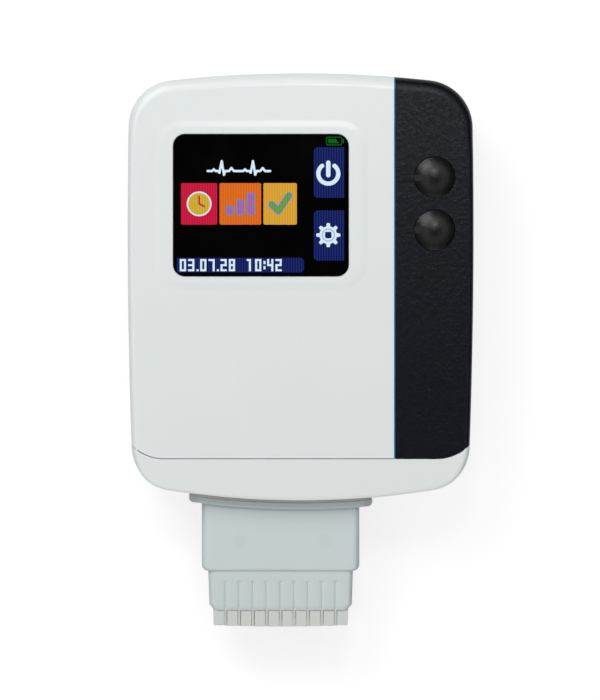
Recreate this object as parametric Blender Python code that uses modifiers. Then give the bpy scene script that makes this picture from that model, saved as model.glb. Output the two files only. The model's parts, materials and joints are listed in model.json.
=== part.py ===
"""Pocket heart recorder (holter monitor) that lies on its back, with its patient plug pushed in.

x runs to the right of the front face, y to the top end and z from the back face to the front.
"""

import math

import bmesh
import bpy

# Gaps between neighbouring pieces
FIT_GAP = 0.00015
RUNNING_GAP = 0.0003
SEAM_GAP = 0.0003
OVERRUN = 0.002

# Case outline, seen from the front
CASE_WIDTH = 0.0700
CASE_LENGTH = 0.0862
TOP_ARC_RADIUS = 0.2450
END_ARC_RADIUS = 0.1680
SIDE_ARC_RADIUS = 1.2060
SIDE_WIDEST_Y = 0.0115
TOP_CORNER_RADIUS = 0.0097
END_CORNER_RADIUS = 0.0089

# Case walls and edges
COVER_WALL = 0.0024
FRONT_EDGE_RADIUS = 0.0020
BACK_EDGE_RADIUS = 0.0026
DRAFT = 0.0003
PARTING_SHARE = 0.5

# Seam between the covers and the end cap
END_CAP_LENGTH = 0.0084
SEAM_STRAIGHT = 0.0550
SEAM_CORNER_RADIUS = 0.0092
LIP_THICKNESS = 0.0008
LIP_REACH = 0.0018
SEAL_WIDTH = 0.0008
SEAL_GROOVE = 0.0006

# Grip panel and accent strip
PANEL_WIDTH = 0.01563
PANEL_THICKNESS = 0.0011
STRIP_WIDTH = 0.00037

# Display window in its raised surround
WINDOW_SIDE_MARGIN = 0.0095
WINDOW_TOP_DISTANCE = 0.0125
WINDOW_END_DISTANCE = 0.0453
WINDOW_ROUNDING = 0.0023
WINDOW_THICKNESS = 0.0012
WINDOW_DROP = 0.0001
WINDOW_CHAMFER = 0.0002
WINDOW_LEDGE = 0.0008
WINDOW_GASKET = 0.0002
SURROUND_MARGIN_X = 0.0041
SURROUND_MARGIN_Y = 0.0030
SURROUND_ROUNDING = 0.0057
SURROUND_RISE = 0.00035
SURROUND_EDGE = 0.0014
SURROUND_EDGE_SHARES = ((0.0, 0.0), (0.4, 0.3), (0.7, 0.75), (1.0, 1.0))

# Display module
DISPLAY_MARGIN_X = 0.0012
DISPLAY_MARGIN_Y = 0.0007
DISPLAY_THICKNESS = 0.0014
FRAME_WALL = 0.0014
FRAME_RING = 0.0018
FRAME_LEG = 0.0030
FLEX_WIDTH = 0.0120
FLEX_THICKNESS = 0.0002
FLEX_BEND = 0.0008
FLEX_DROP_DISTANCE = 0.0014
FLEX_PLUG_LENGTH = 0.0010
CONNECTOR_WIDTH = 0.0140
CONNECTOR_LENGTH = 0.0030
CONNECTOR_HEIGHT = 0.0013

# Buttons with their switches and the leader ridges
UPPER_BUTTON_DISTANCE = 0.0210
BUTTON_RADIUS = 0.0042
BUTTON_CLEARANCE = 0.0005
DOME_RISE = 0.0012
BUTTON_FLANGE_REACH = 0.0009
BUTTON_FLANGE_THICKNESS = 0.0008
BUTTON_STEM_RADIUS = 0.0015
BUTTON_STEM_LENGTH = 0.0013
BUTTON_TRAVEL = 0.0005
LEADER_WIDTH = 0.0016
LEADER_RISE = 0.0004
LEADER_REACH = 0.0023
UPPER_LEADER_DROP = 0.00025
SWITCH_SIDE = 0.0060
SWITCH_BODY_HEIGHT = 0.0035
SWITCH_PLUNGER_RADIUS = 0.0017
SWITCH_PLUNGER_RISE = 0.0016
SWITCH_PLUNGER_SINK = 0.0008

# Battery bay and sliding door
BATTERY_WIDTH = 0.0360
BATTERY_THICKNESS = 0.0055
BATTERY_ROUNDING = 0.0014
BAY_WALL = 0.0012
BAY_TOP_DISTANCE = 0.0046
BAY_SEAM_DISTANCE = 0.02035
CONTACT_THICKNESS = 0.0021
CONTACT_WIDTH = 0.0120
CONTACT_TAIL = 0.0012
CONTACT_SPRING_RADIUS = 0.0006
CONTACT_SPRING_SHARES = (-0.35, 0.0, 0.35)
DOOR_THICKNESS = 0.0020
DOOR_TONGUE_THICKNESS = 0.0009
DOOR_TONGUE_REACH = 0.0010
DOOR_MARGIN = 0.0010
DOOR_OVERLAP = 0.0025
THUMB_RADIUS = 0.0080
THUMB_DEPTH = 0.0006
THUMB_DISTANCE = 0.0120
THUMB_RIDGE_WIDTH = 0.0008
THUMB_RIDGE_PITCH = 0.0028

# Main board and what it carries
UNDERBOARD_SPACE = 0.0013
BOARD_THICKNESS = 0.0012
BOARD_SIDE_MARGIN = 0.0040
BOARD_CLEARANCE = 0.0008
BOARD_TAB_WIDTH = 0.0220
POST_RADIUS = 0.0022
BOARD_SCREW_INSET = 0.0022
BOARD_SCREW_LENGTH = 0.0052
COMPONENT_GAP = 0.0005
AMPLIFIER_SIZE = (0.0080, 0.0080, 0.0012)
PROCESSOR_SIZE = (0.0100, 0.0100, 0.0011)
MEMORY_SIZE = (0.0110, 0.0085, 0.0010)
CHIP_CHAMFER = 0.00015
SHIELD_SIZE = (0.0110, 0.0110, 0.0020)
SHIELD_WALL = 0.0003
CARD_SIZE = (0.0110, 0.0150, 0.0010)
CARD_SOCKET_WALL = 0.0004
CARD_SOCKET_DEPTH = 0.0132
CELL_RADIUS = 0.0034
CELL_THICKNESS = 0.0021
CELL_HOLDER_WALL = 0.0005
CELL_HOLDER_HEIGHT = 0.0016

# Screws and bosses
SCREW_HEAD_RADIUS = 0.0017
SCREW_HEAD_HEIGHT = 0.0013
SCREW_SHANK_RADIUS = 0.0009
SCREW_DRIVE_RADIUS = 0.0008
SCREW_DRIVE_DEPTH = 0.0007
HEAD_CLEARANCE = 0.00025
BOSS_WALL = 0.0008
FRONT_BOSS_RADIUS = 0.0022
CASE_SCREW_LENGTH = 0.0095
CASE_SCREW_SEAT = 0.0050
UPPER_SCREW_INSET_X = 0.0064
UPPER_SCREW_INSET_Y = 0.0077
LOWER_SCREW_INSET_X = 0.0062
LOWER_SCREW_SEAM_DISTANCE = 0.0062
END_SCREW_CLEARANCE = 0.00075
END_SCREW_LENGTH = 0.0120
END_SCREW_SEAT = 0.0034
END_SCREW_DROP = 0.0045
END_POST_LENGTH = 0.0080

# Patient socket behind the end cap
PLUG_X = -0.0040
TONGUE_INSET = 0.00442
TONGUE_DEPTH = 0.0044
TONGUE_CLEARANCE = 0.0005
CONTACT_SLOTS = 10
CONTACT_SLOT_WIDTH = 0.0012
CONTACT_SLOT_DEPTH = 0.0003
CONTACT_SLOT_LENGTH = 0.0050
SOCKET_WALL_X = 0.0009
SOCKET_WALL_Z = 0.0015
SOCKET_RECESS = 0.0011
SOCKET_LENGTH = 0.0100
SOCKET_CAVITY = 0.0080
SOCKET_TAIL_LENGTH = 0.0040
SOCKET_TAIL_HEIGHT = 0.0025
SOCKET_TAIL_INSET = 0.0035

# Patient plug
PLUG_GAP = 0.0006
PLUG_SEAL_THICKNESS = 0.0003
FLANGE_REACH = 0.00263
FLANGE_DEPTH = 0.0150
FLANGE_THICKNESS = 0.0012
FLANGE_ROUNDING = 0.0010
FLANGE_CORNER_RADIUS = 0.0030
PLUG_SEAL_INSET = 0.00015
BLOCK_DEPTH = 0.0130
BLOCK_LENGTH = 0.0125
BLOCK_CORNER_RADIUS = 0.0014
SHOULDER = 0.0013
NOSE_LENGTH = 0.0079
NOSE_TAPER = 0.0002
NOSE_CHAMFER_WIDTH = 0.00095
NOSE_CHAMFER_RISE = 0.00035
NOSE_CHAMFER_LENGTH = 0.0012
PLUG_WALL = 0.0016
PLUG_SCREW_OFFSET = 0.0084
PLUG_SCREW_DISTANCE = 0.0092
PLUG_SCREW_LENGTH = 0.0070
PLUG_SCREW_SEAT = 0.0026
LEAD_COUNT = 10
LEAD_PITCH = 0.00278
RIB_WIDTH = 0.0005
RIB_LENGTH = 0.00335
RIB_SINK = 0.0001
SLEEVE_WIDTH = 0.0019
SLEEVE_ROUNDING = 0.0004
SLEEVE_RECESS = 0.0002
SLEEVE_TAPER = 0.0002
OUTLET_RADIUS = 0.0007
OUTLET_DEPTH = 0.0015
GROMMET_SKIN = 0.0018
GROMMET_NECK_MARGIN = 0.0010
GROMMET_BAR_LENGTH = 0.0016
FLUTE_HALF_WIDTH = 0.0011
FLUTE_DEPTH = 0.0003
FLUTE_START = 0.0020
FLUTE_POCKET_LENGTH = 0.0007
FLUTE_POCKET_SHARES = (0.5, 0.85)
FLUTE_CUSP_SHARES = (0.3, 0.4)
COLLAR_LENGTH = 0.0025
COLLAR_MARGIN = 0.0010
PLUG_BOARD_MARGIN = 0.0008
PLUG_BOARD_THICKNESS = 0.0010

# Levels above the back face, from the battery door up to the front face
BAY_TOP = DOOR_THICKNESS + RUNNING_GAP + BATTERY_THICKNESS + RUNNING_GAP
BOARD_LEVEL = BAY_TOP + BAY_WALL + UNDERBOARD_SPACE
BOARD_FACE = BOARD_LEVEL + BOARD_THICKNESS
SWITCH_TOP = BOARD_FACE + FIT_GAP + SWITCH_BODY_HEIGHT
STEM_LEVEL = SWITCH_TOP + SWITCH_PLUNGER_RISE + FIT_GAP
BUTTON_FLANGE_TOP = STEM_LEVEL + BUTTON_STEM_LENGTH + BUTTON_FLANGE_THICKNESS
FRONT_INNER = BUTTON_FLANGE_TOP + RUNNING_GAP
CASE_DEPTH = FRONT_INNER + COVER_WALL
PARTING = CASE_DEPTH * PARTING_SHARE
PLUG_HEIGHT = CASE_DEPTH / 2

# Places along the case
CASE_TOP = CASE_LENGTH / 2
CASE_END = -CASE_LENGTH / 2
SEAM_Y = CASE_END + END_CAP_LENGTH
PANEL_LEFT = CASE_WIDTH / 2 - PANEL_WIDTH
STRIP_LEFT = PANEL_LEFT - STRIP_WIDTH
WINDOW_X = (STRIP_LEFT - CASE_WIDTH / 2) / 2
WINDOW_WIDTH = STRIP_LEFT + CASE_WIDTH / 2 - 2 * WINDOW_SIDE_MARGIN
WINDOW_Y = (WINDOW_END_DISTANCE - WINDOW_TOP_DISTANCE) / 2
WINDOW_LENGTH = CASE_LENGTH - WINDOW_TOP_DISTANCE - WINDOW_END_DISTANCE
BUTTON_X = CASE_WIDTH / 2 - COVER_WALL - 2 * DRAFT - RUNNING_GAP - BUTTON_RADIUS
UPPER_BUTTON_Y = CASE_TOP - UPPER_BUTTON_DISTANCE
LOWER_BUTTON_Y = UPPER_BUTTON_Y - 2 * (BUTTON_RADIUS + BUTTON_FLANGE_REACH) - BUTTON_CLEARANCE
BAY_HIGH_Y = CASE_TOP - BAY_TOP_DISTANCE
BAY_LOW_Y = SEAM_Y + BAY_SEAM_DISTANCE
BATTERY_HIGH_Y = BAY_HIGH_Y - RUNNING_GAP
BATTERY_LOW_Y = BAY_LOW_Y + FIT_GAP + CONTACT_THICKNESS + RUNNING_GAP
BAY_HALF = BATTERY_WIDTH / 2 + RUNNING_GAP
DOOR_LOW_Y = BAY_LOW_Y - DOOR_OVERLAP
DOOR_HALF = BATTERY_WIDTH / 2 + DOOR_MARGIN
SOCKET_FRONT_Y = CASE_END + SOCKET_RECESS
SOCKET_BACK_Y = SOCKET_FRONT_Y + SOCKET_LENGTH
BOARD_HALF = CASE_WIDTH / 2 - BOARD_SIDE_MARGIN

# Sizes shared by pieces that fit together
END_CAP_WALL = COVER_WALL + FIT_GAP + LIP_THICKNESS
SCREW_HOLE_RADIUS = SCREW_SHANK_RADIUS + FIT_GAP
HEAD_HOLE_RADIUS = SCREW_HEAD_RADIUS + HEAD_CLEARANCE
REAR_BOSS_RADIUS = HEAD_HOLE_RADIUS + BOSS_WALL
BOARD_HIGH_Y = CASE_TOP - UPPER_SCREW_INSET_Y - REAR_BOSS_RADIUS - BOARD_CLEARANCE
BOARD_LOW_Y = SEAM_Y + LOWER_SCREW_SEAM_DISTANCE + REAR_BOSS_RADIUS + BOARD_CLEARANCE
DISPLAY_WIDTH = WINDOW_WIDTH + 2 * DISPLAY_MARGIN_X
DISPLAY_LENGTH = WINDOW_LENGTH + 2 * DISPLAY_MARGIN_Y
WINDOW_TOP = CASE_DEPTH + SURROUND_RISE - WINDOW_DROP
WINDOW_SEAT = WINDOW_TOP - WINDOW_THICKNESS - FIT_GAP - WINDOW_GASKET - FIT_GAP
DISPLAY_LEVEL = FRONT_INNER - FIT_GAP - DISPLAY_THICKNESS
FLEX_DROP_Y = WINDOW_Y - DISPLAY_LENGTH / 2 - FLEX_DROP_DISTANCE
CONNECTOR_HIGH_Y = FLEX_DROP_Y - FLEX_BEND - FIT_GAP
ROW_HIGH_Y = CONNECTOR_HIGH_Y - CONNECTOR_LENGTH - COMPONENT_GAP
HOLE_RADIUS = BUTTON_RADIUS + RUNNING_GAP

# Sizes across the plug follow from its row of leads
NOSE_END_WIDTH = (LEAD_COUNT - 1) * LEAD_PITCH + SLEEVE_WIDTH
NOSE_WIDTH = NOSE_END_WIDTH + 2 * (NOSE_TAPER + NOSE_CHAMFER_WIDTH)
BLOCK_WIDTH = NOSE_WIDTH + 2 * SHOULDER
FLANGE_WIDTH = BLOCK_WIDTH + 2 * FLANGE_REACH
TONGUE_WIDTH = BLOCK_WIDTH - 2 * TONGUE_INSET
CONTACT_SLOT_PITCH = TONGUE_WIDTH / (CONTACT_SLOTS + 1)
SOCKET_WIDTH = TONGUE_WIDTH + 2 * (RUNNING_GAP + SOCKET_WALL_X)
SOCKET_DEPTH = TONGUE_DEPTH + 2 * (RUNNING_GAP + SOCKET_WALL_Z)
END_SCREW_OFFSET = SOCKET_WIDTH / 2 + REAR_BOSS_RADIUS + END_SCREW_CLEARANCE

# Distances out of the case's end, and sizes through the plug, in the plug's own frame
FLANGE_FAR = PLUG_GAP + FLANGE_THICKNESS
BLOCK_FAR = FLANGE_FAR + BLOCK_LENGTH
NOSE_FAR = BLOCK_FAR + NOSE_LENGTH
RIB_FAR = NOSE_FAR + RIB_LENGTH
NOSE_DEPTH = BLOCK_DEPTH - 2 * SHOULDER
NOSE_END_DEPTH = NOSE_DEPTH - 2 * (NOSE_TAPER + NOSE_CHAMFER_RISE)
NOSE_INNER_WIDTH = NOSE_WIDTH - 2 * (NOSE_TAPER + PLUG_WALL)
NOSE_INNER_DEPTH = NOSE_DEPTH - 2 * (NOSE_TAPER + PLUG_WALL)
GROMMET_DEPTH = NOSE_END_DEPTH - 2 * GROMMET_SKIN
PLUG_CAVITY_NEAR = FLANGE_FAR + PLUG_WALL
PLUG_CAVITY_FAR = NOSE_FAR - PLUG_WALL
TONGUE_NEAR = -SOCKET_RECESS - SOCKET_CAVITY + TONGUE_CLEARANCE
GROMMET_NECK_WIDTH = NOSE_END_WIDTH - 2 * GROMMET_NECK_MARGIN

# Steps that arcs are drawn in
SIDE_STEPS = 4
END_STEPS = 6
CORNER_STEPS = 7
EDGE_STEPS = 4
SEAM_STEPS = 6
ROUNDING_STEPS = 4
DOME_STEPS = 4
BUTTON_STEPS = 28
SCREW_STEPS = 10
HOLE_STEPS = 14
THUMB_STEPS = 32
SMALL_STEPS = 10
SHARPEST_CORNER = 0.0002
MERGE_DISTANCE = 0.00001
SEAM_TURN = math.radians(62)
QUARTER = math.radians(90)
SMOOTH_ANGLE = math.radians(35)

# Name, height up the case and drop of the leader ridge of each button
BUTTONS = (
    ("upper", UPPER_BUTTON_Y, UPPER_LEADER_DROP),
    ("lower", LOWER_BUTTON_Y, 0.0),
)

# Where screws stand
CASE_SCREW_PLACES = (
    (-CASE_WIDTH / 2 + UPPER_SCREW_INSET_X, CASE_TOP - UPPER_SCREW_INSET_Y),
    (CASE_WIDTH / 2 - UPPER_SCREW_INSET_X, CASE_TOP - UPPER_SCREW_INSET_Y),
    (-CASE_WIDTH / 2 + LOWER_SCREW_INSET_X, SEAM_Y + LOWER_SCREW_SEAM_DISTANCE),
    (CASE_WIDTH / 2 - LOWER_SCREW_INSET_X, SEAM_Y + LOWER_SCREW_SEAM_DISTANCE),
)
BOARD_SCREW_PLACES = (
    (-BOARD_HALF + BOARD_SCREW_INSET, WINDOW_Y),
    (-BOARD_HALF + BOARD_SCREW_INSET, BOARD_LOW_Y + BOARD_SCREW_INSET),
    (BOARD_HALF - BOARD_SCREW_INSET, BOARD_LOW_Y + BOARD_SCREW_INSET),
)
END_SCREW_PLACES = (PLUG_X - END_SCREW_OFFSET, PLUG_X + END_SCREW_OFFSET)
END_SCREW_HEIGHT = PLUG_HEIGHT - END_SCREW_DROP
PLUG_SCREW_PLACES = (
    (-PLUG_SCREW_OFFSET, PLUG_SCREW_DISTANCE),
    (PLUG_SCREW_OFFSET, PLUG_SCREW_DISTANCE),
)


# Scene and materials


def clear_scene():
    for old in list(bpy.data.objects):
        bpy.data.objects.remove(old, do_unlink=True)


def new_collection(name):
    collection = bpy.data.collections.new(name)
    bpy.context.scene.collection.children.link(collection)
    return collection


def finish(name, colour, roughness, metallic=0.0):
    material = bpy.data.materials.new(name)
    material.use_nodes = True
    shader = material.node_tree.nodes["Principled BSDF"]
    shader.inputs["Base Color"].default_value = (*colour, 1.0)
    shader.inputs["Roughness"].default_value = roughness
    shader.inputs["Metallic"].default_value = metallic
    material.diffuse_color = (*colour, 1.0)
    return material


clear_scene()
RECORDER = new_collection("holter_monitor")
CUTTERS = new_collection("cutters")

WHITE = finish("white_case", (0.78, 0.81, 0.80), 0.42)
CHARCOAL = finish("charcoal_grip", (0.012, 0.014, 0.018), 0.62)
BLUE = finish("blue_accent", (0.006, 0.03, 0.13), 0.4)
BLACK_PLASTIC = finish("black_plastic", (0.008, 0.008, 0.009), 0.35)
PLUG_GREY = finish("plug_grey", (0.58, 0.62, 0.62), 0.45)
PANE = finish("display_pane", (0.004, 0.004, 0.006), 0.06)
SEAL = finish("seal_rubber", (0.03, 0.03, 0.03), 0.75)
SLEEVE = finish("lead_sleeve", (0.55, 0.58, 0.56), 0.6)
STEEL = finish("steel", (0.56, 0.56, 0.57), 0.3, 1.0)
BOARD_GREEN = finish("board_green", (0.01, 0.12, 0.05), 0.45)
CHIP_BLACK = finish("chip_black", (0.012, 0.012, 0.012), 0.5)
AMBER_FLEX = finish("amber_flex", (0.35, 0.12, 0.02), 0.4)
BATTERY_BLUE = finish("battery_wrap", (0.02, 0.06, 0.16), 0.5)
BRASS = finish("contact_brass", (0.7, 0.5, 0.18), 0.3, 1.0)


# Outlines


def arc(centre, radius, start, end, steps):
    """Points on an arc that turns anticlockwise from start to end, with both ends."""
    sweep = (end - start) % (2 * math.pi)
    turns = [start + sweep * step / steps for step in range(steps + 1)]
    return [(centre[0] + radius * math.cos(turn), centre[1] + radius * math.sin(turn)) for turn in turns]


def heading(start, end):
    return math.atan2(end[1] - start[1], end[0] - start[0])


def crossing(first, first_radius, second, second_radius, corner):
    """The point nearer to corner where two circles cross."""
    apart = math.dist(first, second)
    along = (first_radius**2 - second_radius**2 + apart**2) / (2 * apart)
    across = math.sqrt(max(first_radius**2 - along**2, 0.0))
    unit = ((second[0] - first[0]) / apart, (second[1] - first[1]) / apart)
    foot = (first[0] + unit[0] * along, first[1] + unit[1] * along)
    choices = [
        (foot[0] - side * unit[1] * across, foot[1] + side * unit[0] * across)
        for side in (1, -1)
    ]
    return min(choices, key=lambda point: math.dist(point, corner))


def case_outline(inset=0.0):
    """The case's outline of tangent arcs, anticlockwise from the right side, moved in by inset."""
    half_width, half_length = CASE_WIDTH / 2, CASE_LENGTH / 2
    sides = (
        ((half_width - SIDE_ARC_RADIUS, SIDE_WIDEST_Y), SIDE_ARC_RADIUS, SIDE_STEPS),
        ((0.0, half_length - TOP_ARC_RADIUS), TOP_ARC_RADIUS, END_STEPS),
        ((SIDE_ARC_RADIUS - half_width, SIDE_WIDEST_Y), SIDE_ARC_RADIUS, SIDE_STEPS),
        ((0.0, END_ARC_RADIUS - half_length), END_ARC_RADIUS, END_STEPS),
    )
    corners = (
        (TOP_CORNER_RADIUS, (half_width, half_length)),
        (TOP_CORNER_RADIUS, (-half_width, half_length)),
        (END_CORNER_RADIUS, (-half_width, -half_length)),
        (END_CORNER_RADIUS, (half_width, -half_length)),
    )
    fillets = []
    for number, (full_rounding, corner) in enumerate(corners):
        rounding = max(full_rounding - inset, SHARPEST_CORNER)
        first, first_radius, _ = sides[number]
        second, second_radius, _ = sides[(number + 1) % len(sides)]
        reach = inset + rounding
        centre = crossing(first, first_radius - reach, second, second_radius - reach, corner)
        fillets.append((centre, rounding))
    outline = []
    for number, (centre, radius, steps) in enumerate(sides):
        before = fillets[number - 1][0]
        after, rounding = fillets[number]
        following = sides[(number + 1) % len(sides)][0]
        turn_in, turn_out = heading(centre, after), heading(following, after)
        outline += arc(centre, radius - inset, heading(centre, before), turn_in, steps)[:-1]
        outline += arc(after, rounding, turn_in, turn_out, CORNER_STEPS)[:-1]
    return outline


def rounded_outline(width, length, rounding, centre=(0.0, 0.0)):
    """A rectangle with round corners, anticlockwise."""
    outline = []
    for number, (side_x, side_y) in enumerate(((1, 1), (-1, 1), (-1, -1), (1, -1))):
        middle = (
            centre[0] + side_x * (width / 2 - rounding),
            centre[1] + side_y * (length / 2 - rounding),
        )
        outline += arc(middle, rounding, QUARTER * number, QUARTER * (number + 1), ROUNDING_STEPS)
    return outline


def seam_path(shift=0.0):
    """The seam from left to right, moved by shift towards the lower end."""
    bend = (SEAM_STRAIGHT / 2, SEAM_Y + SEAM_CORNER_RADIUS)
    right = arc(bend, SEAM_CORNER_RADIUS + shift, -QUARTER, SEAM_TURN - QUARTER, SEAM_STEPS)
    left = [(-x, y) for x, y in reversed(right)]
    return [(-CASE_WIDTH, left[0][1]), *left, *right, (CASE_WIDTH, right[-1][1])]


def flange_outline(near, far, half_width, rounding):
    """A band that follows the end cap's arc from near to far, with its far corners rounded."""
    centre = (-PLUG_X, END_ARC_RADIUS)
    outer = END_ARC_RADIUS + far
    inner = END_ARC_RADIUS + near
    bends = []
    for side in (-1, 1):
        x = side * (half_width - rounding)
        bends.append((x, centre[1] - math.sqrt((outer - rounding) ** 2 - (x - centre[0]) ** 2)))
    turns = [heading(centre, bend) for bend in bends]
    outline = arc(bends[0], rounding, 2 * QUARTER, turns[0], ROUNDING_STEPS)[:-1]
    outline += arc(centre, outer, turns[0], turns[1], END_STEPS)[:-1]
    outline += arc(bends[1], rounding, turns[1], 0.0, ROUNDING_STEPS)
    for step in range(END_STEPS + 1):
        x = half_width - 2 * half_width * step / END_STEPS
        outline.append((x, centre[1] - math.sqrt(inner**2 - (x - centre[0]) ** 2)))
    return outline


def ribbon_outline(path, thickness):
    """A band of even thickness along a path of points."""
    left, right = [], []
    for number, (x, y) in enumerate(path):
        before = path[max(number - 1, 0)]
        after = path[min(number + 1, len(path) - 1)]
        turn = heading(before, after) + QUARTER
        offset = (math.cos(turn) * thickness / 2, math.sin(turn) * thickness / 2)
        left.append((x + offset[0], y + offset[1]))
        right.append((x - offset[0], y - offset[1]))
    return left[::-1] + right


# Meshes


def finished(shape, name):
    bmesh.ops.recalc_face_normals(shape, faces=shape.faces)
    mesh = bpy.data.meshes.new(name)
    shape.to_mesh(mesh)
    shape.free()
    return mesh


def loft_mesh(name, rings):
    """A closed body through rings of as many points each, capped at both ends."""
    shape = bmesh.new()
    loops = [[shape.verts.new(point) for point in ring] for ring in rings]
    for lower, upper in zip(loops, loops[1:]):
        for number in range(len(lower)):
            after = (number + 1) % len(lower)
            shape.faces.new((lower[number], lower[after], upper[after], upper[number]))
    shape.faces.new(loops[0])
    shape.faces.new(loops[-1])
    return finished(shape, name)


def level_ring(outline, height):
    return [(x, y, height) for x, y in outline]


def plate_mesh(name, outlines, low, high):
    """One or more flat outlines, extruded from low to high."""
    shape = bmesh.new()
    for outline in outlines:
        face = shape.faces.new([shape.verts.new((x, y, low)) for x, y in outline])
        grown = bmesh.ops.extrude_face_region(shape, geom=[face])
        raised = [item for item in grown["geom"] if isinstance(item, bmesh.types.BMVert)]
        bmesh.ops.translate(shape, verts=raised, vec=(0, 0, high - low))
    return finished(shape, name)


def box_mesh(name, boxes):
    """One or more boxes, each given by its lowest and highest corner."""
    shape = bmesh.new()
    for low, high in boxes:
        made = bmesh.ops.create_cube(shape, size=1.0)
        size = [upper - lower for lower, upper in zip(low, high)]
        middle = [(upper + lower) / 2 for lower, upper in zip(low, high)]
        bmesh.ops.scale(shape, vec=size, verts=made["verts"])
        bmesh.ops.translate(shape, vec=middle, verts=made["verts"])
    return finished(shape, name)


def drum_mesh(name, places, radius, low, high, steps=HOLE_STEPS):
    """Upright cylinders of one size at the given places."""
    shape = bmesh.new()
    for x, y in places:
        made = bmesh.ops.create_cone(
            shape,
            cap_ends=True,
            segments=steps,
            radius1=radius,
            radius2=radius,
            depth=high - low,
        )
        bmesh.ops.translate(shape, vec=(x, y, (high + low) / 2), verts=made["verts"])
    return finished(shape, name)


def edge_rings(radius, offset):
    """Insets and rises that round an edge, from the flat face out to the side wall."""
    inner = max(radius - offset, 0.0)
    steps = round(EDGE_STEPS * inner / radius)
    if steps == 0:
        return [(DRAFT + offset, offset)]
    rings = []
    for step in range(steps + 1):
        turn = QUARTER * step / steps
        inset = DRAFT + offset + inner * (1 - math.sin(turn))
        rings.append((inset, offset + inner * (1 - math.cos(turn))))
    return rings


def case_mesh(name, offset=0.0):
    """The case's skin as a solid, moved in by offset, with its edges rounded at back and front."""
    rings = edge_rings(BACK_EDGE_RADIUS, offset)
    rings.append((offset, PARTING))
    for inset, rise in reversed(edge_rings(FRONT_EDGE_RADIUS, offset)):
        rings.append((inset, CASE_DEPTH - rise))
    return loft_mesh(name, [level_ring(case_outline(inset), height) for inset, height in rings])


# Objects and joins


def place(collection, name, mesh, at, parent, rotation):
    item = bpy.data.objects.new(name, mesh)
    item.location = at
    item.rotation_euler = rotation
    item.parent = parent
    collection.objects.link(item)
    return item


def piece(name, mesh, material, at=(0, 0, 0), parent=None, rotation=(0, 0, 0)):
    """A sub-part of the recorder."""
    mesh.materials.append(material)
    return place(RECORDER, name, mesh, at, parent or CASE, rotation)


def cutter(name, mesh, at=(0, 0, 0), parent=None, rotation=(0, 0, 0)):
    """A shape that only cuts, adds to or limits other shapes."""
    item = place(CUTTERS, name, mesh, at, parent or CASE, rotation)
    item.hide_render = True
    item.display_type = "WIRE"
    return item


def combine(target, shape, operation):
    step = target.modifiers.new(shape.name, "BOOLEAN")
    step.operation = operation
    step.object = shape


def cut(target, *shapes):
    for shape in shapes:
        combine(target, shape, "DIFFERENCE")


def add(target, *shapes):
    for shape in shapes:
        combine(target, shape, "UNION")


def keep(target, *shapes):
    for shape in shapes:
        combine(target, shape, "INTERSECT")


def turn_profile(item, steps):
    """Turns a profile drawn in x and z about the object's z axis."""
    screw = item.modifiers.new("turn", "SCREW")
    screw.steps = steps
    screw.render_steps = steps
    screw.use_merge_vertices = True
    screw.merge_threshold = MERGE_DISTANCE
    screw.use_smooth_shade = True


def profile_mesh(name, points):
    """An open profile in x and z, from the top of its outer side down."""
    shape = bmesh.new()
    verts = [shape.verts.new((x, 0, z)) for x, z in points]
    for first, second in zip(verts, verts[1:]):
        shape.edges.new((first, second))
    mesh = bpy.data.meshes.new(name)
    shape.to_mesh(mesh)
    shape.free()
    return mesh


def soften(item, width, segments=1):
    bevel = item.modifiers.new("edges", "BEVEL")
    bevel.width = width
    bevel.segments = segments
    bevel.limit_method = "ANGLE"


def empty(name, at, parent=None, rotation=(0, 0, 0)):
    item = place(RECORDER, name, None, at, parent, rotation)
    item.empty_display_size = CASE_DEPTH
    return item


# The case stands so that the whole recorder, plug included, is centred on the origin
CASE = empty("case_centre", (0, RIB_FAR / 2, 0))


# Shapes that several pieces share


def seam_cutter(name, shift, towards_end):
    """Everything beyond the seam, towards the lower end or towards the top."""
    far = CASE_END - RIB_FAR if towards_end else CASE_LENGTH
    outline = seam_path(shift) + [(CASE_WIDTH, far), (-CASE_WIDTH, far)]
    return cutter(name, plate_mesh(name, [outline], -OVERRUN, CASE_DEPTH + OVERRUN))


def half_cutter(name, low, high):
    corner = (CASE_WIDTH, CASE_LENGTH)
    return cutter(name, box_mesh(name, [((-corner[0], -corner[1], low), (*corner, high))]))


BEYOND_SEAM = seam_cutter("beyond_seam", -SEAM_GAP / 2, True)
BEFORE_LIP = seam_cutter("before_lip", -LIP_REACH, False)
BEHIND_PARTING = half_cutter("behind_parting", -OVERRUN, PARTING + SEAM_GAP / 2)
AHEAD_OF_PARTING = half_cutter("ahead_of_parting", PARTING - SEAM_GAP / 2, CASE_DEPTH + OVERRUN)


def hex_screw(name, length, at, parent=None, rotation=(0, 0, 0)):
    """A pan-head screw with a hexagon drive: head above its seat at z = 0, shank below."""
    profile = [
        (0, SCREW_HEAD_HEIGHT),
        (SCREW_HEAD_RADIUS - SCREW_HEAD_HEIGHT / 4, SCREW_HEAD_HEIGHT),
        (SCREW_HEAD_RADIUS, SCREW_HEAD_HEIGHT * 3 / 4),
        (SCREW_HEAD_RADIUS, 0),
        (SCREW_SHANK_RADIUS, 0),
        (SCREW_SHANK_RADIUS, SCREW_SHANK_RADIUS - length),
        (SCREW_SHANK_RADIUS / 2, -length),
        (0, -length),
    ]
    screw = piece(name, profile_mesh(name, profile), STEEL, at, parent, rotation)
    turn_profile(screw, SCREW_STEPS)
    low, high = SCREW_HEAD_HEIGHT - SCREW_DRIVE_DEPTH, SCREW_HEAD_HEIGHT + OVERRUN
    drive = drum_mesh(name + "_drive", [(0, 0)], SCREW_DRIVE_RADIUS, low, high, 6)
    cut(screw, cutter(name + "_drive", drive, at, parent, rotation))
    return screw


# Front of the case


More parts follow.
